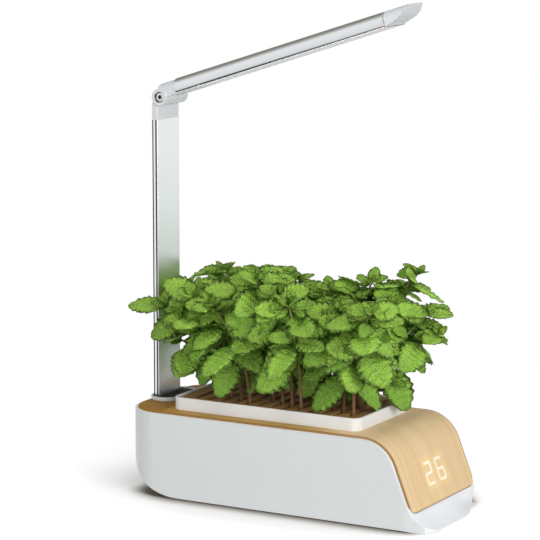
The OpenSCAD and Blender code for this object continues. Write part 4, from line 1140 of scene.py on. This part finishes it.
tubes = Growth("stem_tubes", {"Sides": ("Int", 8), "Thickness": ("Float", 1.0)})
line = tubes.node("GeometryNodeMeshToCurve", None, {"Mesh": tubes.start.outputs[0]})
ring = tubes.node("GeometryNodeCurvePrimitiveCircle", None,
                  {"Resolution": tubes.value("Sides"), "Radius": 1.0})
girth = tubes.node("ShaderNodeMath", {"operation": "MULTIPLY"},
                   {0: tubes.named("thick"), 1: tubes.value("Thickness")})
sweep = tubes.tree.nodes.new("GeometryNodeCurveToMesh")
if "Scale" in sweep.inputs:
    tubes.tree.links.new(line, sweep.inputs["Curve"])
    tubes.tree.links.new(girth, sweep.inputs["Scale"])
else:
    thick = tubes.node("GeometryNodeSetCurveRadius", None, {"Curve": line, "Radius": girth})
    tubes.tree.links.new(thick, sweep.inputs["Curve"])
tubes.tree.links.new(ring, sweep.inputs["Profile Curve"])
sweep.inputs["Fill Caps"].default_value = True
tubes.finish(sweep.outputs[0], woody.mat)
tubes.grow(stems, {"Sides": 8, "Thickness": 1.0})
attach(stems, "tray")
print("stem faces:", len(stems.data.polygons))

# %% Leaves: a leaf on every point
leaf_mesh = bpy.data.meshes.new("mint_leaves")
leaf_mesh.from_pydata([tuple(p) for p, *_ in cloud], [], [])
for label, kind, field, values in (
        ("turn", "FLOAT_VECTOR", "vector", np.array([c[1] for c in cloud], np.float32).ravel()),
        ("size", "FLOAT", "value", [c[2] for c in cloud]),
        ("shape", "INT", "value", [c[3] for c in cloud]),
        ("tone", "FLOAT", "value", [c[4] for c in cloud])):
    leaf_mesh.attributes.new(label, kind, "POINT").data.foreach_set(field, values)
leaves = bpy.data.objects.new("mint_leaves", leaf_mesh)
bpy.context.scene.collection.objects.link(leaves)

crown = Growth("leaf_on_point", {"Leaf size": ("Float", 1.0), "Shapes": ("Collection", None)})
shapes = crown.node("GeometryNodeCollectionInfo", None,
                    {"Collection": crown.value("Shapes"), "Separate Children": True,
                     "Reset Children": True})
turned = crown.node("FunctionNodeEulerToRotation", None,
                    {"Euler": crown.named("turn", "FLOAT_VECTOR")})
length = crown.node("ShaderNodeMath", {"operation": "MULTIPLY"},
                    {0: crown.named("size"), 1: crown.value("Leaf size")})
planted = crown.node("GeometryNodeInstanceOnPoints", None,
                     {"Points": crown.start.outputs[0], "Instance": shapes,
                      "Pick Instance": True, "Instance Index": crown.named("shape", "INT"),
                      "Rotation": turned, "Scale": length})
crown.finish(planted, leafy.mat)
crown.grow(leaves, {"Leaf size": 1.0, "Shapes": leaf_box})
for shape in leaf_shapes:
    bpy.data.objects.remove(shape)
bpy.data.collections.remove(leaf_box)
stand_for(leaves, "mint_plants")
print("leaf faces:", len(leaves.data.polygons))

# %% [markdown]
# ## The growing sponge
#
# The sponge shows only as darkness between the bars of the grille. Its pores and the damp
# sheen still matter when the tray is seen from above.

# %% Sponge finish
sponge = Finish("growing_sponge", {"IOR": 1.35})
holes = sponge.node("ShaderNodeTexVoronoi", None,
                    {"Vector": sponge.place, "Scale": 420.0}, out="Distance")
damp = sponge.noise(sponge.place, 60.0, 3.0)
sponge.set(colour=sponge.mix(damp, (0.022, 0.012, 0.007), (0.075, 0.045, 0.025)),
           rough=0.65 + damp * 0.3, normal=sponge.bump(holes, 0.0012))
finish["sponge"] = sponge.mat

# %% [markdown]
# ## Dress what is left
#
# Every remaining part keeps its own mesh and takes the finish that its slot names.

# %% Dress the remaining parts
for part, obj in nodes.items():
    slot = slot_of[part]
    if slot in finish:
        obj.data.materials.clear()
        obj.data.materials.append(finish[slot])
print("without a finish:", sorted({slot_of[n] for n in nodes} - set(finish)))

# %% [markdown]
# ## Size
#
# The dressed model should stay inside the box of the real parts, apart from soft parts
# that stand a little proud.
